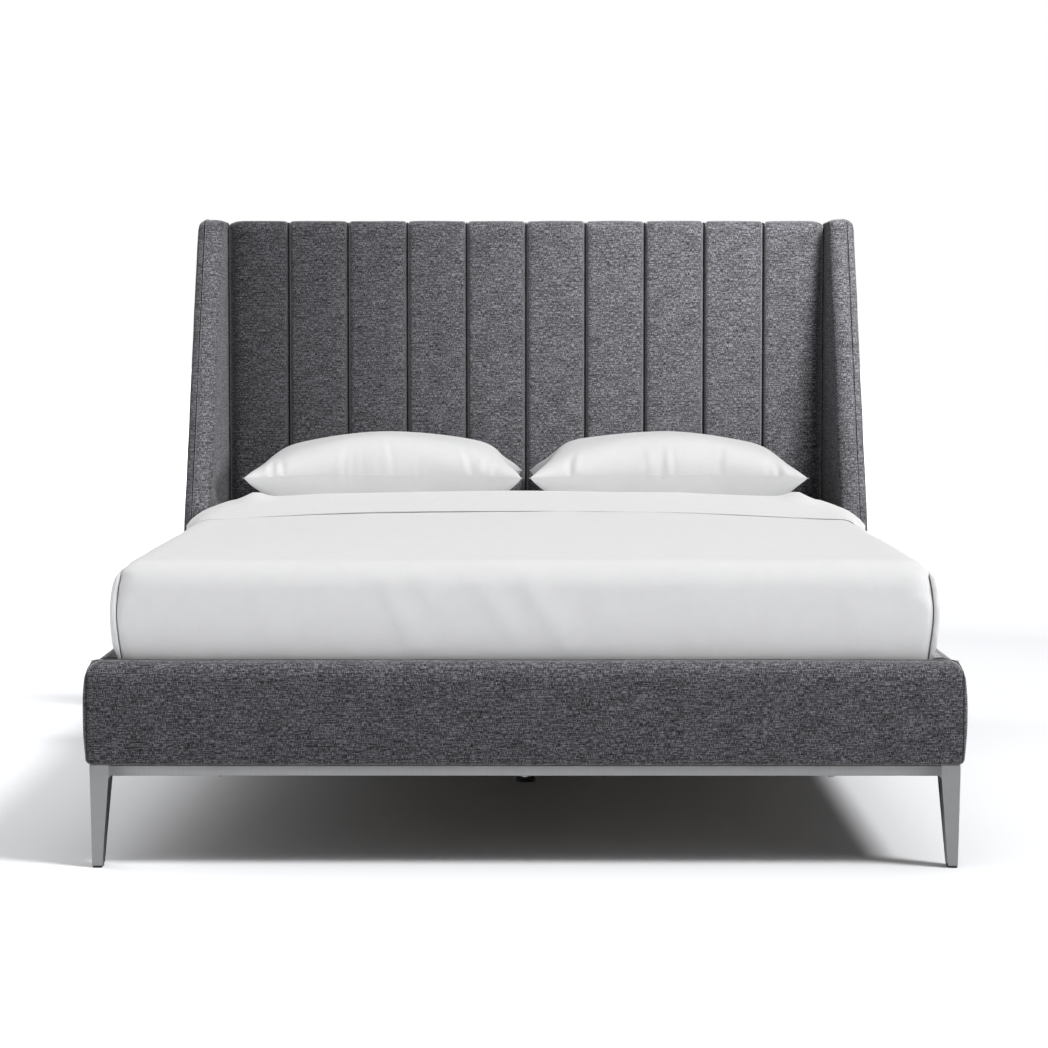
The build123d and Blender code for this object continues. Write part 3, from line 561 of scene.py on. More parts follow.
def leg_loop(x, y, size, drawn, hollow):
    """A leg's section as a ring of points: two rounded corners, and a hollow inner side."""
    half_x, half_y = size[0] / 2, size[1] / 2
    radii = (METAL_ROUND - drawn * 0.5, INNER_ROUND - drawn * 0.5)
    ring = rounded_ring((x, y), (half_x, half_y), radii, LEG_CORNER_STEPS)
    inner, far, near = x - half_x, y + half_y - LEG_LIP, y - half_y + LEG_LIP
    brim, floor = inner + hollow * 0.2, inner + hollow
    sunk = [(inner, far), (brim, far - 0.0002), (floor, far - 0.0006)]
    sunk += [(floor, near + 0.0006), (brim, near + 0.0002), (inner, near)]
    after = 3 * LEG_CORNER_STEPS
    return ring[:after] + sunk + ring[after:]


def leg_fillet(way_x, way_y):
    """The ground weld in the corner between a leg's head and the bar across the bed's end."""
    corner_x, corner_z = METAL_HALF - LEG_HEAD[0] + 0.0006, BAR_BOTTOM + 0.0004
    ring = [(corner_x, corner_z)]
    for turn in np.linspace(0, QUARTER, 7):
        x = corner_x - WELD_RADIUS * (1 - math.sin(turn))
        ring.append((x, corner_z - WELD_RADIUS * (1 - math.cos(turn))))
    ends = (METAL_END - 0.0002, METAL_END - LEG_HEAD[0])
    points = [(way_x * x, way_y * y, z) for y in ends for x, z in ring]
    return points, ring_faces(2, len(ring))


def leg_piece(way_x, way_y):
    """A tapered leg of folded plate; near-black steel paints the shade in its hollow inner side."""
    rings = []
    heights = [LEG_TIP, LEG_TIP + 0.0012, *np.linspace(0.012, BAR_BOTTOM - 0.004, 12)]
    for z in heights + [BAR_BOTTOM - 0.0025, BAR_BOTTOM, GROUND - 0.0004]:
        share = min((z - LEG_TIP) / (BAR_BOTTOM - LEG_TIP), 1.0)
        drawn = 0.0008 if z == LEG_TIP else 0.0
        size = [low + (high - low) * share for low, high in zip(LEG_FOOT, LEG_HEAD)]
        lean = LEG_LEAN * (1 - share)
        x, y = METAL_HALF - lean - size[0] / 2, lean + size[1] / 2 - METAL_END
        hollow = LEG_HOLLOW if z < BAR_BOTTOM - 0.003 else 0.0
        loop = leg_loop(x, y, [side - 2 * drawn for side in size], drawn, hollow)
        rings.append([(way_x * px, -way_y * py, z) for px, py in loop])
    count = len(rings[0])
    plate = (np.array(rings).reshape(-1, 3), ring_faces(len(rings), count))
    name = ("rear" if way_y > 0 else "front") + ("_right" if way_x > 0 else "_left") + "_leg"
    obj = make_mesh(name + "_plate", *join_parts([plate, leg_fillet(way_x, way_y)]))
    dress(obj, STEEL, "frame", [name])
    obj.data.materials.append(HOLLOW_SHADE_STEEL)
    first = 3 * LEG_CORNER_STEPS
    for index, polygon in enumerate(obj.data.polygons):
        row, column = divmod(index, count)
        # The hollow's faces take the near-black steel: painted shade.
        if first <= column < first + 5 and row < len(rings) - 3:
            polygon.material_index = 1
        polygon.use_smooth = column < 2 * LEG_CORNER_STEPS and row < len(rings) - 1


# Upholstery

CHANNEL_ROWS = 96
CAP_RADIUS = 0.030
NAPE_RADIUS = 0.020
SEAM_DEPTH = 0.027
SEAM_SHOULDER = 0.0140
SEAM_GAP = 0.0030
CHANNEL_PITCH = 0.1529
FACE_SAG = 0.0035
END_FALL = 0.024
SHOULDER_STEPS = np.array([0, 0.7, 1.2, 1.5, 2.0, 2.7, 3.6, 4.8, 6.3, 8.2, 10.5, 14.5]) / 1000


def channel_path():
    """The pad's outer line, inner line and share of top, from its floor over the top to its back."""
    brow_z, nape_y = TOP - CAP_RADIUS, BACK_Y - NAPE_RADIUS
    rows = []
    for z in np.linspace(CHANNEL_FLOOR, brow_z, CHANNEL_ROWS, endpoint=False):
        rows.append((HEAD_Y, z, BOARD_Y, min(z, CAP_FLOOR), 0.0))
    for turn in np.linspace(0, QUARTER, 9):
        y, z = HEAD_Y + CAP_RADIUS * (1 - math.cos(turn)), brow_z + CAP_RADIUS * math.sin(turn)
        rows.append((y, z, BOARD_Y, CAP_FLOOR, turn / QUARTER))
    for y in np.linspace(HEAD_Y + CAP_RADIUS, nape_y, 7)[1:]:
        rows.append((y, TOP, max(BOARD_Y, y), CAP_FLOOR, 1.0))
    for turn in np.linspace(0, QUARTER, 8)[1:]:
        y, z = nape_y + NAPE_RADIUS * math.sin(turn), TOP - NAPE_RADIUS * (1 - math.cos(turn))
        rows.append((y, z, nape_y, CAP_FLOOR, 1.0))
    rows.append((BACK_Y, CAP_FLOOR, nape_y, CAP_FLOOR, 1.0))
    rows = np.array(rows)
    return rows[:, :2], rows[:, 2:4], rows[:, 4]


def channel_edge(index):
    """The seams between the channels: even, with the two end channels a little wider."""
    if index in (0, CHANNELS):
        return math.copysign(RECESS_HALF, index - 1)
    return (index - CHANNELS / 2) * CHANNEL_PITCH


def channel_piece(index):
    """A stuffed channel: its face falls to a seam at each side, more where it meets a wing."""
    left, right = channel_edge(index), channel_edge(index + 1)
    centre, half = (left + right) / 2, (right - left) / 2 - 0.0002
    outer, inner, cap = channel_path()
    shoulder_places = 1 - SHOULDER_STEPS / half
    places = np.concatenate([-shoulder_places, np.linspace(-0.73, 0.73, 17), shoulder_places[::-1]])
    rows, columns = len(outer), len(places) + 2
    points = np.zeros((rows, columns, 3))
    run = np.concatenate([[0], np.cumsum(steps_along(outer))])
    away = np.maximum((1 - np.abs(places)) * half - SEAM_GAP / 2, 0)
    for row in range(rows):
        depth_here = np.linalg.norm(inner[row] - outer[row])
        inward = (inner[row] - outer[row]) / depth_here
        soft = 1 - 0.62 * cap[row]
        rounded = np.clip(1 - away / (SEAM_SHOULDER * (1 - 0.25 * cap[row])), 0, 1)
        fall = SEAM_DEPTH * soft * (1 - np.maximum(1 - rounded**2.6, 0) ** 0.5)
        fall += FACE_SAG * soft * places**2
        if index in (0, CHANNELS - 1):
            by_wing = (1 - places * math.copysign(1, index - 1)) * half
            fall += END_FALL * soft * hill(by_wing, 0.018)
        at, more = run[row], index * 5.3
        wave = np.array([noise.noise((centre * 9 + p * 0.8, at * 9, index * 3.1)) for p in places])
        ripple = np.array([noise.noise((p * 1.6 + more, at * 34, 2.2)) for p in places])
        fall += (0.0011 * wave + 0.0012 * ripple * hill(away, 0.022)) * (1 - rounded)
        fall = np.clip(fall, -0.001, depth_here * 0.9)
        points[row, :-2, 0] = centre + places * half
        points[row, :-2, 1:] = outer[row] + inward * fall[:, None]
        points[row, -2] = (centre + half, *inner[row])
        points[row, -1] = (centre - half, *inner[row])
    name = f"channel_{index + 1:02d}"
    obj = make_mesh(name, points.reshape(-1, 3), ring_faces(rows, columns), weld=1e-6)
    dress(obj, WEAVE, "frame", [f"channel_pad_{index + 1:02d}"])


def channel_groove_shadows_piece():
    """Near-black cords at the bottom of the grooves between the channels: painted shadow lines."""
    outer, inner, cap = (line[:-2] for line in channel_path())
    inward = (inner - outer) / np.linalg.norm(inner - outer, axis=1, keepdims=True)
    deep = outer + inward * (0.0125 - 0.006 * cap)[:, None]
    places = [channel_edge(index) for index in range(1, CHANNELS)]
    seams = [tube(np.column_stack([np.full(len(deep), x), deep]), 0.0016) for x in places]
    strips_piece("channel_groove_shadows", seams, SEAM_SHADOW_THREAD, "frame")


def rounded_path(corners, radii, counts, arc_counts):
    """Points along straight runs joined by arcs, with the same count for any inset."""
    corners = np.array(corners, float)
    ways = np.diff(corners, axis=0) / steps_along(corners)[:, None]
    points, start = [], corners[0]
    for index, (into, out) in enumerate(zip(ways[:-1], ways[1:])):
        turn = math.acos(np.clip(np.dot(into, out), -1, 1))
        side = np.array([-into[1], into[0]]) * math.copysign(1, into[0] * out[1] - into[1] * out[0])
        radius = max(radii[index], 0.0005)
        reach = radius * math.tan(turn / 2)
        end = corners[index + 1] - into * reach
        points += list(np.linspace(start, end, counts[index] + 1))
        for angle in np.linspace(0, turn, arc_counts[index] + 1)[1:-1]:
            points.append(end + radius * (side * (1 - math.cos(angle)) + into * math.sin(angle)))
        start = corners[index + 1] + out * reach
    points += list(np.linspace(start, corners[-1], counts[-1] + 1))
    return np.array(points)


WING_SLOPE = (WING_TOP_Y - WING_FRONT_Y) / (TOP - RAIL_TOP)
WING_BACK = 0.004
WING_RIDGE = 0.60
WING_ACROSS = np.concatenate([
    np.linspace(0, 0.2, 8),
    np.linspace(0.2, WING_RIDGE, 9)[1:],
    [0.64, 0.670, 0.684, 0.695, 0.705, 0.716, 0.730],
    np.linspace(0.75, 0.8, 3),
    np.linspace(0.8, 1.0, 8)[1:],
])
SEAM_ACROSS = 0.70
STITCH_ACROSS = 0.662
SPINE_LOW = np.array([0.80, GROUND])
SPINE_HIGH = np.array([0.93, 1.19])
SPINE_STEPS = (1.0, 0.82, 0.62, 0.42, 0.22, 0.08)
STITCH_STOPS = np.array([0.0, 0.0012, 0.0032, 0.0052, 0.0062])
STITCH_RISE = np.array([-0.0007, 0.0, 0.0003, 0.0, -0.0007])


def wing_line(front, top, back=WING_BACK):
    """The wing from the side: up its front, over its shoulder, nose and heel, down its back."""
    corners = [
        (WING_FRONT_Y + front, GROUND),
        (WING_FRONT_Y + front, RAIL_TOP),
        (WING_TOP_Y + front - WING_SLOPE * top, TOP - top),
        (BACK_Y - back, TOP - top),
        (BACK_Y - back, GROUND),
    ]
    radii = (0.120 - front, 0.046 - 0.7 * front, 0.024 - back)
    return rounded_path(corners, radii, (10, 44, 8, 66), (16, 12, 8))


def wing_inset(share):
    """How far the wing's front and top draw in, at a share of the way from its inner face."""
    if share < WING_RIDGE:
        reach = (WING_RIDGE - share) / WING_RIDGE
        front = 0.004 * reach**2 + 0.037 * (1 - max(1 - reach**2.1, 0) ** (1 / 2.1))
        top = 0.002 * reach**2 + 0.010 * (1 - max(1 - reach**4.5, 0) ** (1 / 4.5))
    else:
        reach = (share - WING_RIDGE) / (1 - WING_RIDGE)
        front = 0.002 * reach + 0.020 * (1 - max(1 - reach**2, 0) ** 0.5)
        top = 0.003 * reach + 0.018 * (1 - max(1 - reach**2.2, 0) ** 0.5)
    groove = 0.0036 * hill(share - SEAM_ACROSS, 0.015)
    return front + groove, top + groove


def wing_stitches(x):
    """A row of stitches up the wing's front and over its top."""
    runs = np.concatenate([[0], np.cumsum(steps_along(wing_line(0.0004, 0.0004)))])
    edge = wing_line(0.0009, 0.0009)
    stitches = []
    for start in np.arange(0.012, runs[-1] - 0.95, 0.0085):
        y, z = (np.interp(start + STITCH_STOPS, runs, edge[:, axis]) for axis in (0, 1))
        dy, dz = np.gradient(y), np.gradient(z)
        rise = STITCH_RISE / np.hypot(dy, dz)
        path = np.stack([np.full(5, x), y - dz * rise, z + dy * rise], axis=1)
        stitches.append(tube(path, 0.0011, 5))
    return stitches


def wing_piece(way):
    """A wing's padded cover: two flat sides that meet a spine, and a soft edge between them."""
    name = "right_wing" if way > 0 else "left_wing"
    width = WING_HALF - RECESS_HALF
    inner_rim, outer_rim = wing_line(0.042, 0.013), wing_line(0.023, 0.021)
    count = len(inner_rim)
    spine = SPINE_LOW + (SPINE_HIGH - SPINE_LOW) * (1 - np.abs(np.linspace(-1, 1, count)))[:, None]
    grids = []
    for step in SPINE_STEPS:
        grids.append((-0.0008 * (1 - (1 - step) ** 2), inner_rim + (spine - inner_rim) * step))
    for across in WING_ACROSS:
        front, top = wing_inset(across)
        grids.append((across * width, wing_line(front, top, min(front, WING_BACK))))
    for step in SPINE_STEPS[::-1]:
        grids.append((width + 0.0012 * (1 - (1 - step) ** 2), outer_rim + (spine - outer_rim) * step))
    points = [(way * (RECESS_HALF + x), y, z) for x, line in grids for y, z in line]
    lows = [row * count for row in range(len(grids))]
    floor = tuple(lows + [low + count - 1 for low in lows][::-1][1:-1])
    obj = make_mesh(name, points, grid_faces(len(grids), count) + [floor], weld=2e-5)
    points = points_of(obj)
    soft = lumps(points, 0.10, 3 + way) * 0.0012 + lumps(points, 0.035, 9 + way) * 0.0004
    keep = smooth_step((points[:, 2] - GROUND) / 0.03) * smooth_step((BACK_Y - points[:, 1]) / 0.03)
    inside = np.abs(points[:, 0]) < RECESS_HALF + 0.001
    push_out(obj, points, np.where(inside, np.minimum(soft, 0), soft) * keep)
    weave = RIGHT_WING_SHADED_WEAVE if way > 0 else LEFT_WING_SHADED_WEAVE
    dress(obj, weave, "frame", [name + "_cover"])
    cloth_map = obj.data.uv_layers["weave"].data
    for polygon in obj.data.polygons:
        if polygon.normal.x * way < -0.85:
            for corner in polygon.loop_indices:
                cloth_map[corner].uv.x *= 0.35
    # A near-black cord in the wing's seam groove paints the seam's shadow line.
    cord = wing_line(0.0032, 0.0032)
    cord = cord[np.append(True, steps_along(cord) > 1e-5) & (np.arange(len(cord)) < len(cord) - 62)]
    cord = np.insert(cord, 0, way * (RECESS_HALF + SEAM_ACROSS * width), axis=1)
    strips_piece(name + "_seam_shadow_cord", [tube(cord, 0.0013)], SEAM_SHADOW_THREAD, "frame")
    stitches = wing_stitches(way * (RECESS_HALF + STITCH_ACROSS * width))
    strips_piece(name + "_stitches", stitches, GREY_THREAD, "frame")


RAIL_SWELL = -0.0035
RAIL_THICKNESS = 0.055
RAIL_LOW_ROUND = 0.011
RAIL_SHOULDER_Z = 0.351
RAIL_LIP_Z = 0.381


def rail_rows():
    """Up the padded outer side of a rail and over its top, against its inner side."""
    rows = [
        (0.0345, 0.0205, GROUND + 0.0006, GROUND + 0.0006),
        (0.024, 0.010, GROUND + 0.0004, GROUND + 0.0004),
        (0.018, 0.004, GROUND, GROUND),
    ]
    for turn in np.linspace(0, QUARTER, 6):
        z = GROUND + RAIL_LOW_ROUND * (1 - math.cos(turn))
        rows.append((RAIL_LOW_ROUND * (1 - math.sin(turn)), 0.0012 * (1 - turn / 1.5708), z, z))
    for z in np.linspace(0.206, 0.300, 11)[1:]:
        share = (0.300 - z) / 0.094
        rows.append((RAIL_SWELL * (1 - share**2.2), 0.0, z, z))
    for z in np.linspace(0.300, RAIL_SHOULDER_Z, 6)[1:]:
        share = (z - 0.300) / 0.051
        rows.append((RAIL_SWELL + 0.002 * share**2, 0.0, z, z))
    for step, turn in enumerate(np.linspace(0, QUARTER, 12)[1:]):
        out = RAIL_SWELL + 0.002 + (0.032 - RAIL_SWELL) * (1 - math.cos(turn))
        z, lip = RAIL_SHOULDER_Z + 0.040 * math.sin(turn), RAIL_LIP_Z + 0.010 * math.sin(turn)
        rows.append((out, 0.010 * (1 - math.cos(turn)), z, max(z, lip) if step > 3 else z))
    rows.append((0.0325, 0.015, RAIL_TOP + 0.0006, RAIL_TOP + 0.0006))
    rows.append((0.0345, 0.0205, RAIL_TOP + 0.0009, RAIL_TOP + 0.0009))
    return rows


def foot_rail_piece():
    across = np.linspace(-1, 1, 66)
    loops = []
    for out, back, z_out, z_in in rail_rows():
        half, front, rear = BASE_HALF - out, FOOT_Y + out, RECESS_FOOT_Y - back
        radius = 0.0 if out > 0.034 else max(0.016 - max(out - 0.002, 0) * 0.5, 0.0)
        end = []
        for share in (0.3, 0.7):
            end.append((half, rear + (front + radius - rear) * share, z_in + (z_out - z_in) * share))
        for turn in np.linspace(0, QUARTER, 8):
            x = half - radius + radius * math.cos(turn)
            end.append((x, front + radius - radius * math.sin(turn), z_out))
        loop = [(share * half, rear, z_in) for share in across] + end
        loop += [(share * (half - radius), front, z_out) for share in across[::-1][1:-1]]
        loops.append(loop + [(-x, y, z) for x, y, z in end[::-1]])
    faces = grid_faces(len(loops), len(loops[0]), wrap=True)
    obj = make_mesh("foot_rail", np.array(loops).reshape(-1, 3), faces, weld=2e-5)
    soften_rail(obj, 21)
    dress(obj, WEAVE, "frame", ["foot_rail_cover"])
    bpy.context.view_layer.update()
    foot_rail_seam_shadows(obj)


def on_front(obj, places):
    """Points on the front of a piece, one for each x and z, found by looking straight at it."""
    found = []
    for x, z in places:
        hit, place, normal, _ = obj.ray_cast((x, -2.0, z), (0, 1, 0))
        if hit:
            found.append(np.array(place) - np.array(normal) * 0.0001)
    return found


def foot_rail_seam_shadows(obj):
    """Near-black cords up the two ends of the foot rail's front panel: the boxing seams' painted shadow
    lines.
    """
    inset, radius = 0.0085, 0.020
    side, top = BASE_HALF - RAIL_SWELL - inset, RAIL_TOP - 0.0015
    places = [(side, z) for z in np.linspace(GROUND + 0.010, top - radius, 40)]
    for turn in np.linspace(0, QUARTER, 14)[1:]:
        places.append((side - radius * (1 - math.cos(turn)), top - radius * (1 - math.sin(turn))))
    ends = [tube(on_front(obj, [(way * x, z) for x, z in places]), 0.0013) for way in (-1, 1)]
    strips_piece("foot_rail_seam_shadows", ends, SEAM_SHADOW_THREAD, "frame")


def soften_rail(obj, seed):
    """Small unevenness of the padding, none where the rail meets what carries it."""
    points = points_of(obj)
    soft = lumps(points, 0.16, seed) * 0.0011 + lumps(points, 0.045, seed + 5) * 0.0005
    push_out(obj, points, soft * smooth_step((points[:, 2] - GROUND - 0.004) / 0.03))


def side_rail_piece(way):
    name = "right_rail" if way > 0 else "left_rail"
    rows = rail_rows()
    loop = [(out, z_out) for out, back, z_out, z_in in rows]
    loop += [(RAIL_THICKNESS - back, z_in) for out, back, z_out, z_in in rows[::-1]][1:-1]
    stations = np.linspace(RECESS_FOOT_Y, WING_FRONT_Y, 62)
    points = [(way * (BASE_HALF - out), y, z) for y in stations for out, z in loop]
    obj = make_mesh(name, points, ring_faces(len(stations), len(loop)), weld=1e-6)
    soften_rail(obj, 31 + way)
    dress(obj, WEAVE, "frame", [name + "_cover"])


# Bed

MATTRESS_ROUND = 0.014
SLIT_TOP = 0.557
SLIT_GAP = 0.0017
CORNER_TOP = 0.574
# The coverlet's foot corner: its heights, its outside and its slit's place across the bed.
CORNER_HEIGHTS, CORNER_OUTSIDE, CORNER_SLIT = zip(
    (0.330, 0.7655, 0.7575), (0.387, 0.7672, 0.7610), (0.400, 0.7725, 0.7626), (0.414, 0.7778, 0.7646),
    (0.431, 0.7800, 0.7672), (0.459, 0.7822, 0.7702), (0.489, 0.7827, 0.7708), (0.520, 0.7803, 0.7686),
    (0.546, 0.7731, 0.7635), (0.557, 0.7616, 0.7600), (0.566, 0.7512, 0.7512), (0.574, 0.7400, 0.7400),
)
# Folds in the foot drop: x and z of the upper end and the lower end, width, height.
CREASES = (
    (-0.275, 0.545, -0.205, 0.400, 0.013, 0.0026),
    (-0.215, 0.556, -0.160, 0.476, 0.011, 0.0018),
    (-0.090, 0.535, -0.022, 0.425, 0.013, 0.0026),
    (-0.015, 0.560, 0.085, 0.395, 0.014, 0.0030),
    (0.150, 0.545, 0.140, 0.410, 0.016, 0.0012),
    (0.330, 0.545, 0.300, 0.400, 0.018, 0.0014),
    (-0.520, 0.548, -0.470, 0.400, 0.018, 0.0014),
    (-0.400, 0.540, -0.410, 0.430, 0.014, 0.0009),
    (0.600, 0.548, 0.640, 0.400, 0.018, 0.0014),
)


def crown(x, y):
    """How far the bed's top stands above its edge."""
    along = (y - (BED_FOOT_Y + BED_HEAD_Y) / 2) / ((BED_HEAD_Y - BED_FOOT_Y) / 2 - BED_EDGE)
    across = np.clip(np.abs(x) / (BED_HALF - BED_EDGE), 0, 1)
    return BED_CROWN * (1 - across**3.2) ** 1.6 * (1 - np.clip(np.abs(along), 0, 1) ** 4) ** 2


def outline(half, foot, head, radius, counts, closed):
    """A plan outline from the head's left corner, round the foot, back to the head."""
    n_long, n_wide, n_arc = counts
    turns = np.linspace(0, QUARTER, n_arc + 2)[1:-1]
    in_x, in_y = radius * (1 - np.cos(turns)), radius * (1 - np.sin(turns))
    left = [(-half, y) for y in np.linspace(head - radius if closed else head, foot + radius, n_long)]
    left += list(zip(in_x - half, foot + in_y))
    wide = np.linspace(radius - half, half - radius, n_wide)
    path = left + [(x, foot) for x in wide] + [(-x, y) for x, y in left[::-1]]
    if closed:
        bend = list(zip(half - in_x, head - in_y))
        path += bend + [(x, head) for x in wide[::-1]] + [(-x, y) for x, y in bend[::-1]]
    return np.array(path)


def level(plan, z):
    return np.column_stack([plan, np.full(len(plan), z)])


def top_grid(half, foot, head, z, counts):
    """The flat of a bed-wide cloth, crowned, as rows from the foot to the head."""
    n_long, n_wide, _ = counts
    y, x = np.meshgrid(np.linspace(foot, head, n_long), np.linspace(-half, half, n_wide), indexing="ij")
    return np.stack([x, y, z + crown(x, y)], axis=2).reshape(-1, 3), grid_faces(n_long, n_wide)


def bed_shell(grow, bottom, counts):
    """The sides and the top of a cover over the mattress, grown from it by a distance."""
    half, foot, head = BED_HALF + grow, BED_FOOT_Y - grow, BED_HEAD_Y + grow
    radius = BED_EDGE + grow
    top, shoulder = BED_TOP + grow, BED_TOP + grow - radius
    plan = outline(half, foot, head, radius, counts, True)
    rings = [level(plan, z) for z in np.linspace(bottom, shoulder, 14)]
    for turn in np.linspace(0, QUARTER, 9)[1:]:
        inset, corner = radius * (1 - math.cos(turn)), max(radius * math.cos(turn), 0.0)
        plan = outline(half - inset, foot + inset, head - inset, corner, counts, True)
        rings.append(level(plan, shoulder + radius * math.sin(turn)))
    skirt = (np.concatenate(rings), grid_faces(len(rings), len(plan), wrap=True))
    return skirt, top_grid(half - radius, foot + radius, head - radius, top, counts)


def mattress_plan(inset, radius, counts):
    return outline(BED_HALF - inset, BED_FOOT_Y + inset, BED_HEAD_Y - inset, radius, counts, True)


def mattress_piece():
    """The mattress as one bordered block, with a taped edge round its underside."""
    counts, start = (50, 40, 5), BED_BOTTOM + MATTRESS_ROUND
    skirt, cap = bed_shell(0.0, start, counts)
    rings = []
    for turn in np.linspace(0, QUARTER, 5):
        inset = MATTRESS_ROUND * (1 - math.cos(turn))
        plan = mattress_plan(inset, BED_EDGE - inset, counts)
        rings.append(level(plan, start - MATTRESS_ROUND * math.sin(turn)))
    rings.append(level(mattress_plan(BED_EDGE, 0.0, counts), BED_BOTTOM))
    low = (np.concatenate(rings), grid_faces(len(rings), len(rings[0]), wrap=True))
    flat, faces = top_grid(BED_HALF - BED_EDGE, BED_FOOT_Y + BED_EDGE, BED_HEAD_Y - BED_EDGE, 0, counts)
    flat[:, 2] = BED_BOTTOM
    obj = make_mesh("mattress", *join_parts([skirt, cap, low, (flat, faces)]), weld=2e-5)
    dress(obj, KNIT, "mattress", ["mattress_foam", "mattress_cover"])
    line = level(mattress_plan(0.003, BED_EDGE, (90, 70, 8)), BED_BOTTOM + 0.0055)
    tape = [tube(line, 0.0030, closed=True)]
    strips_piece("mattress_tape", tape, WHITE_THREAD, "mattress")


def fitted_sheet_piece():
    parts = join_parts(bed_shell(0.0018, BED_BOTTOM + 0.002, (74, 58, 6)))
    obj = make_mesh("fitted_bottom_sheet", *parts, weld=2e-5, closed=False)
    points = points_of(obj)
    push_out(obj, points, np.abs(lumps(points, 0.09, 41) * 0.0006))
    thicken(obj, 0.0015)
    dress(obj, COTTON, "mattress", ["fitted_sheet"])


def side_inset(rise):
    """How far the bed's side edge turns in at a share of its shoulder: squarer than round."""
    return 1 - max(1 - rise**3, 0.0) ** (1 / 3)


def corner_line(z, places):
    """A smooth line down the foot corner, through places given for its heights."""
    shifts = np.array([-0.009, -0.006, -0.003, 0.0, 0.003, 0.006, 0.009])
    return np.interp(np.asarray(z)[..., None] + shifts, CORNER_HEIGHTS, places).mean(axis=-1)


def coverlet_creases(x, z):
    """Soft diagonal folds pressed into the foot drop, each with one sharper flank."""
    total = np.zeros_like(x)
    for x0, z0, x1, z1, width, rise in CREASES:
        dx, dz = x1 - x0, z1 - z0
        size = math.hypot(dx, dz)
        along = ((x - x0) * dx + (z - z0) * dz) / size**2
        gap = ((x - x0) * dz - (z - z0) * dx) / size
        fade = np.sin(2 * QUARTER * np.clip(0.08 + 0.84 * along, 0, 1)) ** 0.8
        total += rise * hill(gap, np.where(gap > 0, width, width * 2.2)) * fade
    return total


def slit_opening(heights):
    return smooth_step((SLIT_TOP - heights) / 0.012)


def coverlet_rings(half, foot, shoulder, radius, counts):
    """The coverlet's sides and foot in rings from the hem up, swelling a little over the rails."""
    rings = []
    drop = np.linspace(COVERLET_HEM, RAIL_TOP, 5)
    for z in np.concatenate([drop, np.linspace(RAIL_TOP, shoulder, 20)[1:]]):
        corner = radius + (0.009 - radius) * smooth_step((shoulder - z) / 0.045)
        ring = level(outline(half, foot, COVERLET_HEAD_Y, corner, counts, False), z)
        swell = math.sin(2 * QUARTER * max(z - RAIL_TOP, 0.0) / (shoulder - RAIL_TOP)) * 0.011
        flank = smooth_step((np.abs(ring[:, 0]) - (half - 0.012)) / 0.010)
        free = 1 - smooth_step((ring[:, 1] - (WING_FRONT_Y - 0.09)) / 0.08)
        ring[:, 0] += np.sign(ring[:, 0]) * swell * flank * free
        ring[:, 1] -= smooth_step((foot + 0.012 - ring[:, 1]) / 0.010) * swell * 0.12
        rings.append(ring)
    for turn in np.linspace(0, QUARTER, 12)[1:]:
        inset, corner = radius * (1 - math.cos(turn)), max(radius * math.cos(turn), 0.0)
        across = radius * side_inset(math.sin(turn))
        plan = outline(half - across, foot + inset, COVERLET_HEAD_Y, corner, counts, False)
        rings.append(level(plan, shoulder + radius * math.sin(turn)))
    return np.array(rings)


def shape_slit(part, end, on_side):
    """Draws one edge of a slit to its line, and turns the hem in a little."""
    edge = part[:, end].copy()
    opening = slit_opening(edge[:, 2])
    distance = np.linalg.norm(part[:, :, :2] - edge[:, None, :2], axis=2)
    target, wide, turned = corner_line(edge[:, 2], CORNER_OUTSIDE), 0.070, 0.0040
    if not on_side:
        slit = corner_line(edge[:, 2], CORNER_SLIT) - SLIT_GAP / 2
        target, wide, turned = target + (slit - target) * opening, 0.030, 0.0045
    near = hill(distance, wide) * smooth_step((CORNER_TOP - edge[:, 2]) / 0.010)[:, None]
    goal = (np.sign(edge[:, 0]) * target)[:, None]
    part[:, :, 0] += (goal - (part[:, :, 0] if on_side else edge[:, :1])) * near
    part[:, :, 1] += hill(distance, 0.008) * opening[:, None] * turned


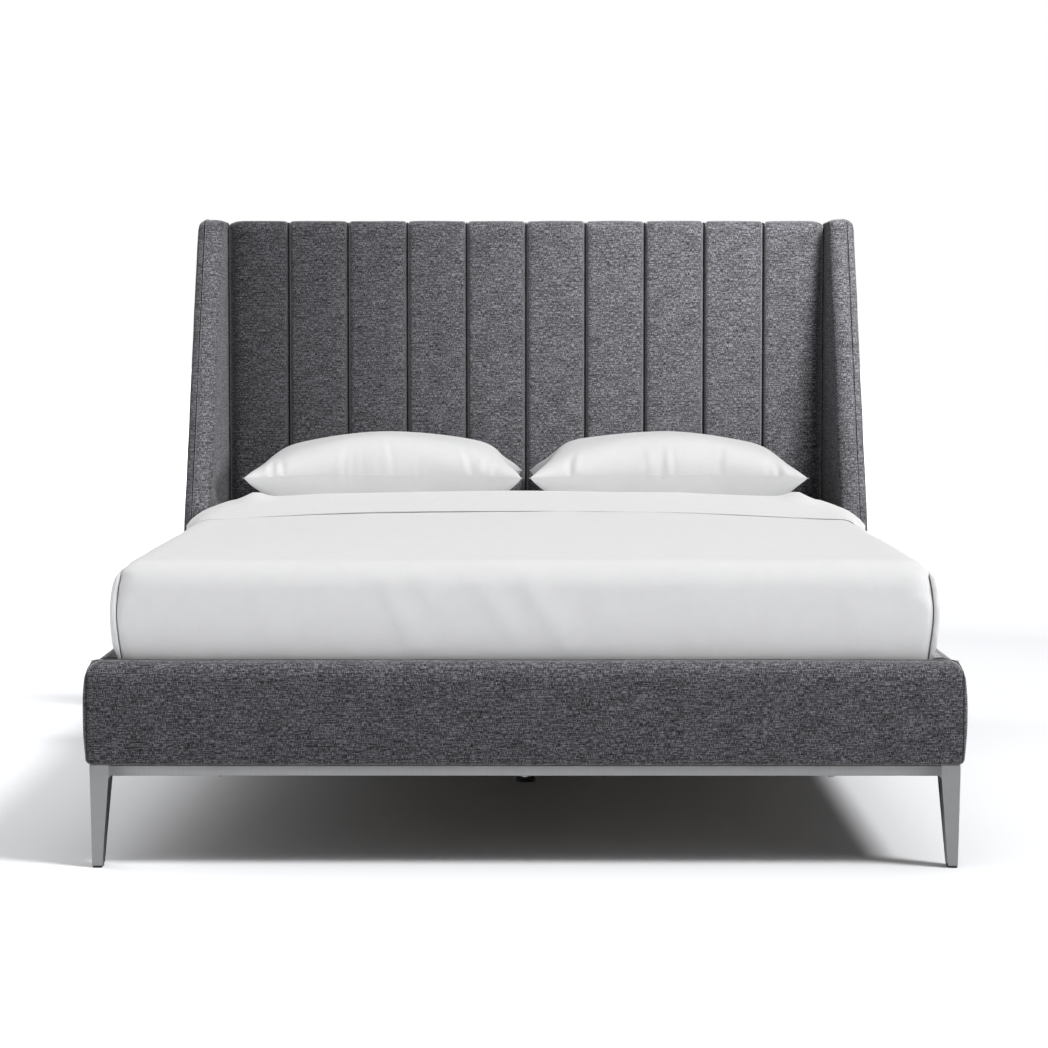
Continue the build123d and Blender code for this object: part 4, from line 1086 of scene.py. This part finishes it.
def coverlet_piece():
    """The coverlet: bed-wide top, two side drops and a foot drop, slit at the foot corners."""
    half, foot = BED_HALF + COVERLET_GROW, BED_FOOT_Y - COVERLET_GROW
    top, radius = BED_TOP + COVERLET_GROW, BED_EDGE + COVERLET_GROW
    counts = (110, 200, 8)
    rings = coverlet_rings(half, foot, top - radius, radius, counts)
    left, end = counts[0] + counts[2] // 2, rings.shape[1] - 1
    blocks = []
    for first, last, slits in ((0, left, (-1,)), (left, end - left, (0, -1)), (end - left, end, (0,))):
        part = rings[:, first : last + 1].copy()
        for slit in slits:
            shape_slit(part, slit, len(slits) == 1)
        blocks.append((part.reshape(-1, 3), grid_faces(part.shape[0], part.shape[1])))
    cap = top_grid(half - radius, foot + radius, COVERLET_HEAD_Y, top, counts)
    obj = make_mesh("bed_coverlet", *join_parts(blocks + [cap]), weld=1e-5, closed=False)
    points = points_of(obj)
    soft = lumps(points, 0.23, 51) * 0.0022 + lumps(points * np.array([1, 0.55, 1]), 0.09, 57) * 0.0009
    on_foot = smooth_step((foot + 0.02 - points[:, 1]) / 0.015)
    soft = soft * (1 - 0.5 * on_foot) + coverlet_creases(points[:, 0], points[:, 2]) * on_foot
    flank = smooth_step((np.abs(points[:, 0]) - (half - 0.02)) / 0.02)
    by_wing = smooth_step((points[:, 1] - (WING_FRONT_Y - 0.10)) / 0.08)
    low = smooth_step((points[:, 2] - RAIL_TOP) / 0.02)
    push_out(obj, points, soft * low * (1 - flank * by_wing))
    thicken(obj, 0.0048)
    dress(obj, COTTON, "mattress", ["coverlet"])
    heights = np.linspace(0.352, SLIT_TOP - 0.002, 48)
    outside = corner_line(heights, CORNER_OUTSIDE)
    slit_side = corner_line(heights, CORNER_SLIT) + SLIT_GAP / 2
    slit_side = outside + (slit_side - outside) * slit_opening(heights)
    sizes = np.maximum((outside - slit_side) / 2, 0.0006)
    back = np.interp(heights, rings[:, left, 2], rings[:, left, 1]) + 0.0045
    middle = outside - sizes
    rolls = [tube(np.column_stack([way * middle, back, heights]), sizes, 12) for way in (-1, 1)]
    roll = strips_piece("coverlet_rolled_edges", rolls, COTTON, "mattress")


# Turned-down band

BAND_HEM = 0.0045
BAND_FULL = 0.0295
BAND_THIN = 0.0042


def band_base(grow):
    """Across the bed: points on the cloth below the band and the way out from each."""
    half, top, radius = BED_HALF + grow, BED_TOP + grow, BED_EDGE + grow
    shoulder = top - radius
    rows = [(-half, z, -1.0, 0.0) for z in np.linspace(BAND_DROP_Z, shoulder, 10)[:-1]]
    for turn in np.linspace(0, QUARTER, 10)[:-1]:
        x, z = radius * side_inset(math.sin(turn)) - half, shoulder + radius * math.sin(turn)
        rows.append((x, z, -math.cos(turn), math.sin(turn)))
    rows = np.array(rows + [(x, top, 0.0, 1.0) for x in np.linspace(radius - half, 0, 40)])
    rows = np.concatenate([rows, rows[-2::-1] * (-1, 1, -1, 1)])
    return rows[:, :2], rows[:, 2:]


def band_profile():
    """The band from its hem to its fold and back below: places along the bed, and lifts."""
    profile = []
    for share in np.concatenate([np.linspace(0, 0.06, 5), np.linspace(0.06, 0.93, 30)[1:]]):
        lift = BAND_HEM + BAND_FULL * smooth_step(share / 0.95) ** 0.9
        if share < 0.06:
            lift *= math.sqrt(max(1 - (1 - share / 0.06) ** 2, 0.06))
        profile.append((BAND_HEM_Y + share * (BAND_FOLD_Y - BAND_HEM_Y), lift))
    last_y, last_lift = profile[-1]
    for turn in np.linspace(0, 2 * QUARTER, 11)[1:-1]:
        y = last_y + (BAND_FOLD_Y - last_y) * math.sin(turn)
        profile.append((y, last_lift * (1 + math.cos(turn)) / 2))
    return profile, [(y, 0.0) for y in np.linspace(last_y, BAND_HEM_Y + 0.0005, 24)]


def band_piece():
    """The turned-down head of the top sheet and blanket: thin at its hem, full at its fold."""
    base, ways = band_base(COVERLET_GROW + 0.0004)
    over, under = band_profile()
    rows, count = len(over + under), len(base)
    points = np.zeros((rows, count, 3))
    reach = np.abs(base[:, 0])
    share_top = 1 - 0.38 * smooth_step((reach - 0.62) / 0.15)
    share_top *= 0.2 + 0.8 * smooth_step((base[:, 1] - BAND_DROP_Z) / 0.075)
    ends = 0.014 * hill(reach - 0.655, 0.028)
    for row, (y, lift) in enumerate(over + under):
        thick, shift, slump, spread = np.full(count, min(lift, BAND_THIN)), 0.0, 0.0, 0.0
        if lift > BAND_THIN:
            thick = BAND_THIN + (lift - BAND_THIN) * share_top
        if row < len(over):
            ripple = [noise.noise((b[0] * 5.0, y * 7.0, b[1] * 5.0 + 4.0)) for b in base]
            hem_wave = [noise.noise((b[0] * 3.4, 8.0, b[1] * 6.0)) for b in base]
            full = smooth_step((lift - 0.010) / 0.020)
            thick = thick * (1 + 0.10 * np.array(ripple)) + ends * smooth_step((lift - 0.022) / 0.008)
            shift = 0.006 * np.array(hem_wave) * (1 - smooth_step((y - BAND_HEM_Y) / 0.12))
            slump = 0.007 * full * hill(reach - 0.745, 0.018)
            spread = 0.026 * full * hill(base[:, 1] - 0.538, 0.022) * np.abs(ways[:, 0])
        points[row, :, 0] = base[:, 0] + ways[:, 0] * thick + np.sign(base[:, 0]) * spread
        points[row, :, 1] = y + shift
        points[row, :, 2] = base[:, 1] + ways[:, 1] * thick + crown(base[:, 0], y) - slump
    wing_y = WING_FRONT_Y + (points[:, :, 2] - RAIL_TOP) * WING_SLOPE - 0.008
    limit = RECESS_HALF - 0.0006 + 0.052 * smooth_step((wing_y - points[:, :, 1]) / 0.050)
    points[:, :, 0] = np.clip(points[:, :, 0], -limit, limit)
    last = (rows - 1) * count
    faces = grid_faces(rows, count) + [(last + k, last + k + 1, k + 1, k) for k in range(count - 1)]
    faces += [tuple(row * count + column for row in range(rows)) for column in (0, count - 1)]
    obj = make_mesh("turned_down_sheet_and_blanket", points.reshape(-1, 3), faces, weld=1e-6)
    dress(obj, COTTON, "mattress", ["turned_down_band"])


# Pillows

CASE_SIZE = (0.76, 0.50)
CASE_GRID = (92, 60)
PILLOW_SIZE = (0.680, 0.420, 0.184)
PILLOW_X = 0.3485
PILLOW_Y = 0.7765
SEAM_SHARE = 0.455
PILLOW_FRAMES = 24
PUCKERS = 15
PUCKER_PLACES = (-0.74, -0.13, 0.30, 0.72, 0.05)
CLOTH = {
    "quality": 6,
    "mass": 0.25,
    "tension_stiffness": 24,
    "compression_stiffness": 24,
    "shear_stiffness": 6,
    "bending_stiffness": 0.25,
    "air_damping": 3,
    "use_pressure": True,
}


def pillow_sewn(name):
    """Two flat layers sewn together all round, with slightly eased corners."""
    nx, ny = CASE_GRID
    v, u = np.meshgrid(np.linspace(-1, 1, ny), np.linspace(-1, 1, nx), indexing="ij")
    x = u * CASE_SIZE[0] / 2 * (1 - 0.014 * (1 - v * v) * np.abs(u) ** 3)
    y = v * CASE_SIZE[1] / 2 * (1 - 0.018 * (1 - u * u) * np.abs(v) ** 3)
    z = 0.012 * (1 - u * u) * (1 - v * v)
    points = np.concatenate([np.stack([x, y, layer * z], axis=2).reshape(-1, 3) for layer in (1, -1)])
    faces = grid_faces(ny, nx) + [face[::-1] for face in grid_faces(ny, nx, start=nx * ny)]
    return make_mesh(name, points, faces, weld=1e-5)


def inflate(obj, pressure):
    """Fills a sewn case with air, and keeps the shape that the cloth takes."""
    cloth = obj.modifiers.new("cloth", "CLOTH")
    for key, value in CLOTH.items():
        setattr(cloth.settings, key, value)
    cloth.settings.uniform_pressure_force = pressure
    cloth.settings.effector_weights.gravity = 0
    cloth.collision_settings.use_collision = False
    cloth.point_cache.frame_start = 1
    cloth.point_cache.frame_end = PILLOW_FRAMES
    for step in range(1, PILLOW_FRAMES + 1):
        bpy.context.scene.frame_set(step)
    apply_modifiers(obj)
    bpy.context.scene.frame_set(1)


def relax(obj, points, share, rounds):
    """Evens out the cloth away from its seam, so that only the seam keeps its puckers."""
    pairs = read(obj.data.edges, "vertices", 2, np.int32).astype(int)
    count = np.bincount(pairs.ravel(), minlength=len(points)).astype(float)[:, None]
    for _ in range(rounds):
        total = np.zeros_like(points)
        np.add.at(total, pairs[:, 0], points[pairs[:, 1]])
        np.add.at(total, pairs[:, 1], points[pairs[:, 0]])
        points = points + (total / count - points) * share[:, None]
    return points


def puckers(points, above, seed):
    """Short folds that rise from the front seam, sunk between soft ridges."""
    move = np.zeros_like(points)
    draw = np.random.default_rng(seed)
    inward = points[:, 1] + PILLOW_SIZE[1] / 2
    for fold in range(PUCKERS):
        place = (PUCKER_PLACES[fold % 5] + draw.uniform(-0.09, 0.09)) * PILLOW_SIZE[0] / 2
        lean = draw.uniform(-0.45, 0.45)
        length = draw.uniform(0.035, 0.085)
        width = draw.uniform(0.0055, 0.0095)
        depth = draw.uniform(0.0030, 0.0065)
        gap = points[:, 0] - place - lean * inward
        fade = np.clip(1 - inward / length, 0, 1) ** 0.8 * smooth_step(inward / 0.006)
        valley = (0.7 * hill(gap - 1.8 * width, width) - hill(gap, width)) * depth * fade
        move[:, 2] += valley
        move[:, 1] -= valley * 0.7
    return move * above[:, None]


def pillow_shape(obj, start, way):
    u, v = np.abs(start[:, 0]) / (CASE_SIZE[0] / 2), np.abs(start[:, 1]) / (CASE_SIZE[1] / 2)
    inflate(obj, 3.0 + 0.2 * way)
    ear = smooth_step((u - 0.70) / 0.25) * smooth_step((v - 0.45) / 0.40)
    return relax(obj, points_of(obj), 0.5 * (1 - 0.97 * ear), 40)


def pillow_piece(way):
    """A pillow: its case inflated, brought to size, flattened below and laid on the bed."""
    body = "right_pillow" if way > 0 else "left_pillow"
    obj = pillow_sewn(body + "_cushion")
    start = points_of(obj)
    edge = np.where(np.abs(start[:, 2]) < 1e-6)[0]
    u, v = start[edge, 0] / (CASE_SIZE[0] / 2), start[edge, 1] / (CASE_SIZE[1] / 2)
    loop = edge[np.argsort(np.arctan2(v, u))]
    points = pillow_shape(obj, start, way)
    points -= (points.max(axis=0) + points.min(axis=0)) / 2
    points[:, :2] *= np.array(PILLOW_SIZE[:2]) / np.ptp(points, axis=0)[:2]
    high, low = points[:, 2].max(), -points[:, 2].min()
    up, down = PILLOW_SIZE[2] * (1 - SEAM_SHARE), PILLOW_SIZE[2] * SEAM_SHARE
    reach = points[:, 0] / (PILLOW_SIZE[0] / 2)
    above = points[:, 2] > 0
    thin = 1 - np.where(reach > 0, 0.36, 0.20) * np.abs(reach) ** 1.6
    lower = np.clip(-points[:, 2] / low, 0, 1)
    steep = 1.2 + 1.3 * (1 - smooth_step((np.abs(reach) - 0.55) / 0.4))
    flat = np.minimum((1 - (1 - lower) ** steep) * 1.06, 1.0)
    points[:, 2] = np.where(above, points[:, 2] / high * up * thin, -flat * down)
    points[:, 2] -= 0.006 * smooth_step((np.abs(reach) - 0.6) / 0.4)
    points += puckers(points, above, 61 + way)
    x, y = (points[:, 0] + PILLOW_X) * way, points[:, 1] + PILLOW_Y
    rest = BED_TOP + 0.0028
    z = points[:, 2] + rest + crown(way * PILLOW_X, PILLOW_Y) + down
    placed = np.column_stack([x, y, np.maximum(z, rest + crown(x, y) + 0.0006)])
    set_points(obj, placed)
    rework(obj.data)
    smooth = obj.modifiers.new("smooth", "SUBSURF")
    smooth.levels = smooth.render_levels = 1
    apply_modifiers(obj)
    dress(obj, PILLOW_COTTON, body, [body])
    seam = placed[loop]
    out = (seam - seam.mean(axis=0)) * (1, 1, 0)
    out /= np.maximum(np.linalg.norm(out, axis=1, keepdims=True), 1e-6)
    sizes = 0.0014 - 0.0008 * smooth_step(np.abs(out[:, 0] * out[:, 1]) * 2)
    welt = [tube(seam + out * 0.0006, sizes, closed=True)]
    strips_piece(body + "_seam", welt, PILLOW_COTTON, body)


# Back of the headboard

STAPLE_PITCH = 0.04
STAPLE_HALF = 0.0052
STAPLE_INSET = 0.012


def staple(x, z, across, upward):
    line = [(x + k * across, BACK_Y - 0.0001, z + k * upward) for k in (-1, -1, 0, 1, 1)]
    return tube(line - np.outer((1, 0, 0, 0, 1), (0, 0.0012, 0)), 0.0005, 5)


def back_cloth_piece():
    """The dust cloth over the headboard's back, drawn in between the battens and stapled."""
    half = RECESS_HALF - 0.001
    points = []
    for z in np.linspace(GROUND + 0.001, CAP_FLOOR - 0.0005, 60):
        for x in np.linspace(-half, half, 90):
            between = 0.5 - 0.5 * math.cos(4 * QUARTER * x / 0.46)
            edge = min(1.0, (z - GROUND) / 0.06, (CAP_FLOOR - z) / 0.06, (half - abs(x)) / 0.05)
            pull = 0.00024 * math.sin(x * 41 + z * 7)
            points.append((x, BACK_Y - 0.0012 + (pull - 0.0012 * between) * max(edge, 0), z))
    obj = make_mesh("back_dust_cloth", points, grid_faces(60, 90), closed=False)
    thicken(obj, 0.0008, 0.0)
    dress(obj, DUST, "frame", ["headboard_back_cover"])
    staples = []
    for z in (GROUND + STAPLE_INSET, CAP_FLOOR - STAPLE_INSET):
        staples += [staple(x, z, STAPLE_HALF, 0) for x in np.arange(-0.74, 0.7401, STAPLE_PITCH)]
    for x in (STAPLE_INSET - half, half - STAPLE_INSET):
        heights = np.arange(GROUND + 0.05, CAP_FLOOR - 0.03, STAPLE_PITCH)
        staples += [staple(x, z, 0, STAPLE_HALF) for z in heights]
    strips_piece("back_staples", staples, ZINC, "frame")


# Light, floor and camera

KEY_WAY = (0.55, -0.07, 1.0)
KEY_STRENGTH = 2.75
FLOOR_KEY_WAY = (0.74, -0.37, 1.0)
FLOOR_KEY_STRENGTH = 6.7
FLOOR_TONE = (0.3564, 0.36, 0.369)
FAR_FLOOR_TONE = (0.84, 0.84, 0.84)
SKY_WAY = (-0.94, -0.05, 0.34)
CAMERA_LENS = 99.6
CAMERA_PLACE = (0.0063, -6.4855, 0.9994)
CAMERA_DIP = 0.065
CAMERA_TURN = 0.0015
HEADBOARD = [f"channel_{index + 1:02d}" for index in range(CHANNELS)] + ["left_wing", "right_wing"]
BOARDS = ["headboard_board", "headboard_battens", "left_wing_core", "right_wing_core"]
BEDDING = ["turned_down_sheet_and_blanket", "bed_coverlet", "fitted_bottom_sheet", "mattress"]
PILLOWS = ["left_pillow_cushion", "right_pillow_cushion", "left_pillow_seam", "right_pillow_seam"]
# Each area lamp: its power, place, target and two sizes, and the pieces that it lights.
AREA_LAMPS = {
    "floor_left": (125, (-3.2, 0.8, 1.9), (-0.6, -0.3, 0.0), (3.0, 2.4), ["studio_floor"]),
    "floor_top": (385, (0.0, -1.0, 4.0), (0.0, -1.0, 0.0), (7.0, 7.0), ["studio_floor"]),
    "rail_box": (18, (2.3, -2.2, 0.6), (0.7, -1.1, 0.3), (0.8, 0.8), ["foot_rail"]),
    "rail_top_light": (85, (0.3, -1.22, 2.7), (0.0, -1.08, 0.39), (3.0, 0.4), ["foot_rail"]),
    "left_wing_light": (420, (2.4, -3.2, 1.6), (-0.8, 0.7, 0.8), (0.8, 0.8), ["left_wing"]),
    "headboard_fill": (43, (-0.4, -2.7, 1.7), (-0.45, 1.0, 1.0), (1.6, 1.0), HEADBOARD),
    "pillow_light": (66, (0.0, -3.0, 0.15), (0.0, 0.6, 0.66), (1.8, 0.5), PILLOWS),
    "right_rail_light": (130, (3.0, 0.2, 1.3), (0.82, -0.5, 0.38), (1.0, 1.0), ["right_rail"]),
    "side_box": (18, (3.0, -3.2, 1.7), (0.3, -1.0, 0.4), (1.6, 1.2), []),
}


def group(name, pieces, state="INCLUDE"):
    """Pieces that a lamp's light or shadow is kept to, or kept off."""
    made = bpy.data.collections.new(name)
    for index, piece in enumerate(pieces):
        made.objects.link(nodes[piece] if piece in nodes else bpy.data.objects[piece])
        made.collection_objects[index].light_linking.link_state = state
    return made


def lamp(name, kind, energy, place, target, lit=(), **values):
    data = bpy.data.lights.new(name, kind)
    data.energy = energy
    for key, value in values.items():
        setattr(data, key, value)
    obj = bpy.data.objects.new(name, data)
    bpy.context.scene.collection.objects.link(obj)
    obj.location = place
    obj.rotation_mode = "QUATERNION"
    obj.rotation_quaternion = (Vector(place) - Vector(target)).to_track_quat("Z", "Y")
    if lit:
        obj.light_linking.receiver_collection = group(name + "_lights", lit)
    return obj


def studio_world():
    """White behind all, and soft light from all round, stronger from the studio's left wall."""
    world = bpy.data.worlds.new("studio")
    bpy.context.scene.world = world
    world.use_nodes = True
    made = Nodes(world.node_tree)
    white = (1, 1, 1, 1)
    way = made.add("TexCoord").outputs["Generated"]
    dot = made.add("VectorMath", {0: way, 1: SKY_WAY}, operation="DOT_PRODUCT").outputs["Value"]
    shaped = made.math("POWER", made.math("MAXIMUM", dot), 1.3)
    strength = made.math("ADD", made.math("MULTIPLY", shaped, 0.35), 0.14)
    fill = made.add("Background", {"Color": white, "Strength": strength})
    seen = made.add("Background", {"Color": white, "Strength": 1.0})
    by_eye = made.add("LightPath").outputs["Is Camera Ray"]
    mix = made.add("MixShader", {"Fac": by_eye, 1: fill.outputs[0], 2: seen.outputs[0]})
    made.add("OutputWorld", {"Surface": mix.outputs[0]})


def studio_floor():
    corners = [(-60, -40, 0), (60, -40, 0), (60, 80, 0), (-60, 80, 0)]
    floor = make_mesh("studio_floor", corners, [(0, 1, 2, 3)], closed=False)
    made = Finish("studio_paper")
    grain = made.noise(made.place(3.0, 3.0, 3.0, uv=False))
    place = made.add("TexCoord").outputs["Object"]
    away = made.add("VectorMath", {0: place}, operation="LENGTH").outputs["Value"]
    shade = made.total((made.fit(away, 3.4, 9.0, 0.0, 1.0), 1.0), (grain, 0.004))
    colour = made.ramp(shade, (0.0, FLOOR_TONE), (1.0, FAR_FLOOR_TONE))
    floor.data.materials.append(made.shade(colour, 0.95, more={"Specular IOR Level": 0.0}))


def studio_lamps():
    origin, floor = (0, 0, 0), ["studio_floor"]
    key = lamp("key", "SUN", KEY_STRENGTH, KEY_WAY, origin, angle=0.52)
    key.light_linking.receiver_collection = group("key_leaves_out", floor, "EXCLUDE")
    floor_key = lamp("floor_key", "SUN", FLOOR_KEY_STRENGTH, FLOOR_KEY_WAY, origin, floor, angle=0.28)
    floor_key.light_linking.blocker_collection = group("no_floor_shadow", HEADBOARD + BOARDS, "EXCLUDE")
    spot = {"spot_size": 1.02, "spot_blend": 1.0, "shadow_soft_size": 0.30}
    lamp("headboard_light", "SPOT", 765, (1.30, -1.0, 2.35), (0.70, 1.0, 1.22), HEADBOARD, **spot)
    for name, (energy, place, target, (size, size_y), lit) in AREA_LAMPS.items():
        lamp(name, "AREA", energy, place, target, lit, shape="RECTANGLE", size=size, size_y=size_y)
    unseen = group("no_pillow_shadow", BEDDING + ["coverlet_rolled_edges", "foot_rail"], "EXCLUDE")
    bpy.data.objects["pillow_light"].light_linking.blocker_collection = unseen


def studio_camera():
    camera = bpy.data.cameras.new("camera")
    camera.sensor_width = 36.0
    camera.lens = CAMERA_LENS
    obj = bpy.data.objects.new("camera", camera)
    bpy.context.scene.collection.objects.link(obj)
    obj.location = CAMERA_PLACE
    obj.rotation_euler = (QUARTER - CAMERA_DIP, 0, CAMERA_TURN)
    bpy.context.scene.camera = obj


bpy.context.scene.view_settings.view_transform = "Standard"
bpy.context.scene.view_settings.look = "None"
paint_frame()
for channel in range(CHANNELS):
    channel_piece(channel)
for along_x, sides in ((True, ("front", "rear")), (False, ("left", "right"))):
    for side, side_way in zip(sides, (-1, 1)):
        bar_piece(side + "_frame_bar", along_x, side_way)
for end_way in (-1, 1):
    for side_way in (-1, 1):
        leg_piece(side_way, end_way)
channel_groove_shadows_piece()
for side_way in (-1, 1):
    wing_piece(side_way)
    side_rail_piece(side_way)
foot_rail_piece()
mattress_piece()
fitted_sheet_piece()
coverlet_piece()
band_piece()
for side_way in (-1, 1):
    pillow_piece(side_way)
back_cloth_piece()
studio_world()
studio_floor()
studio_lamps()
studio_camera()
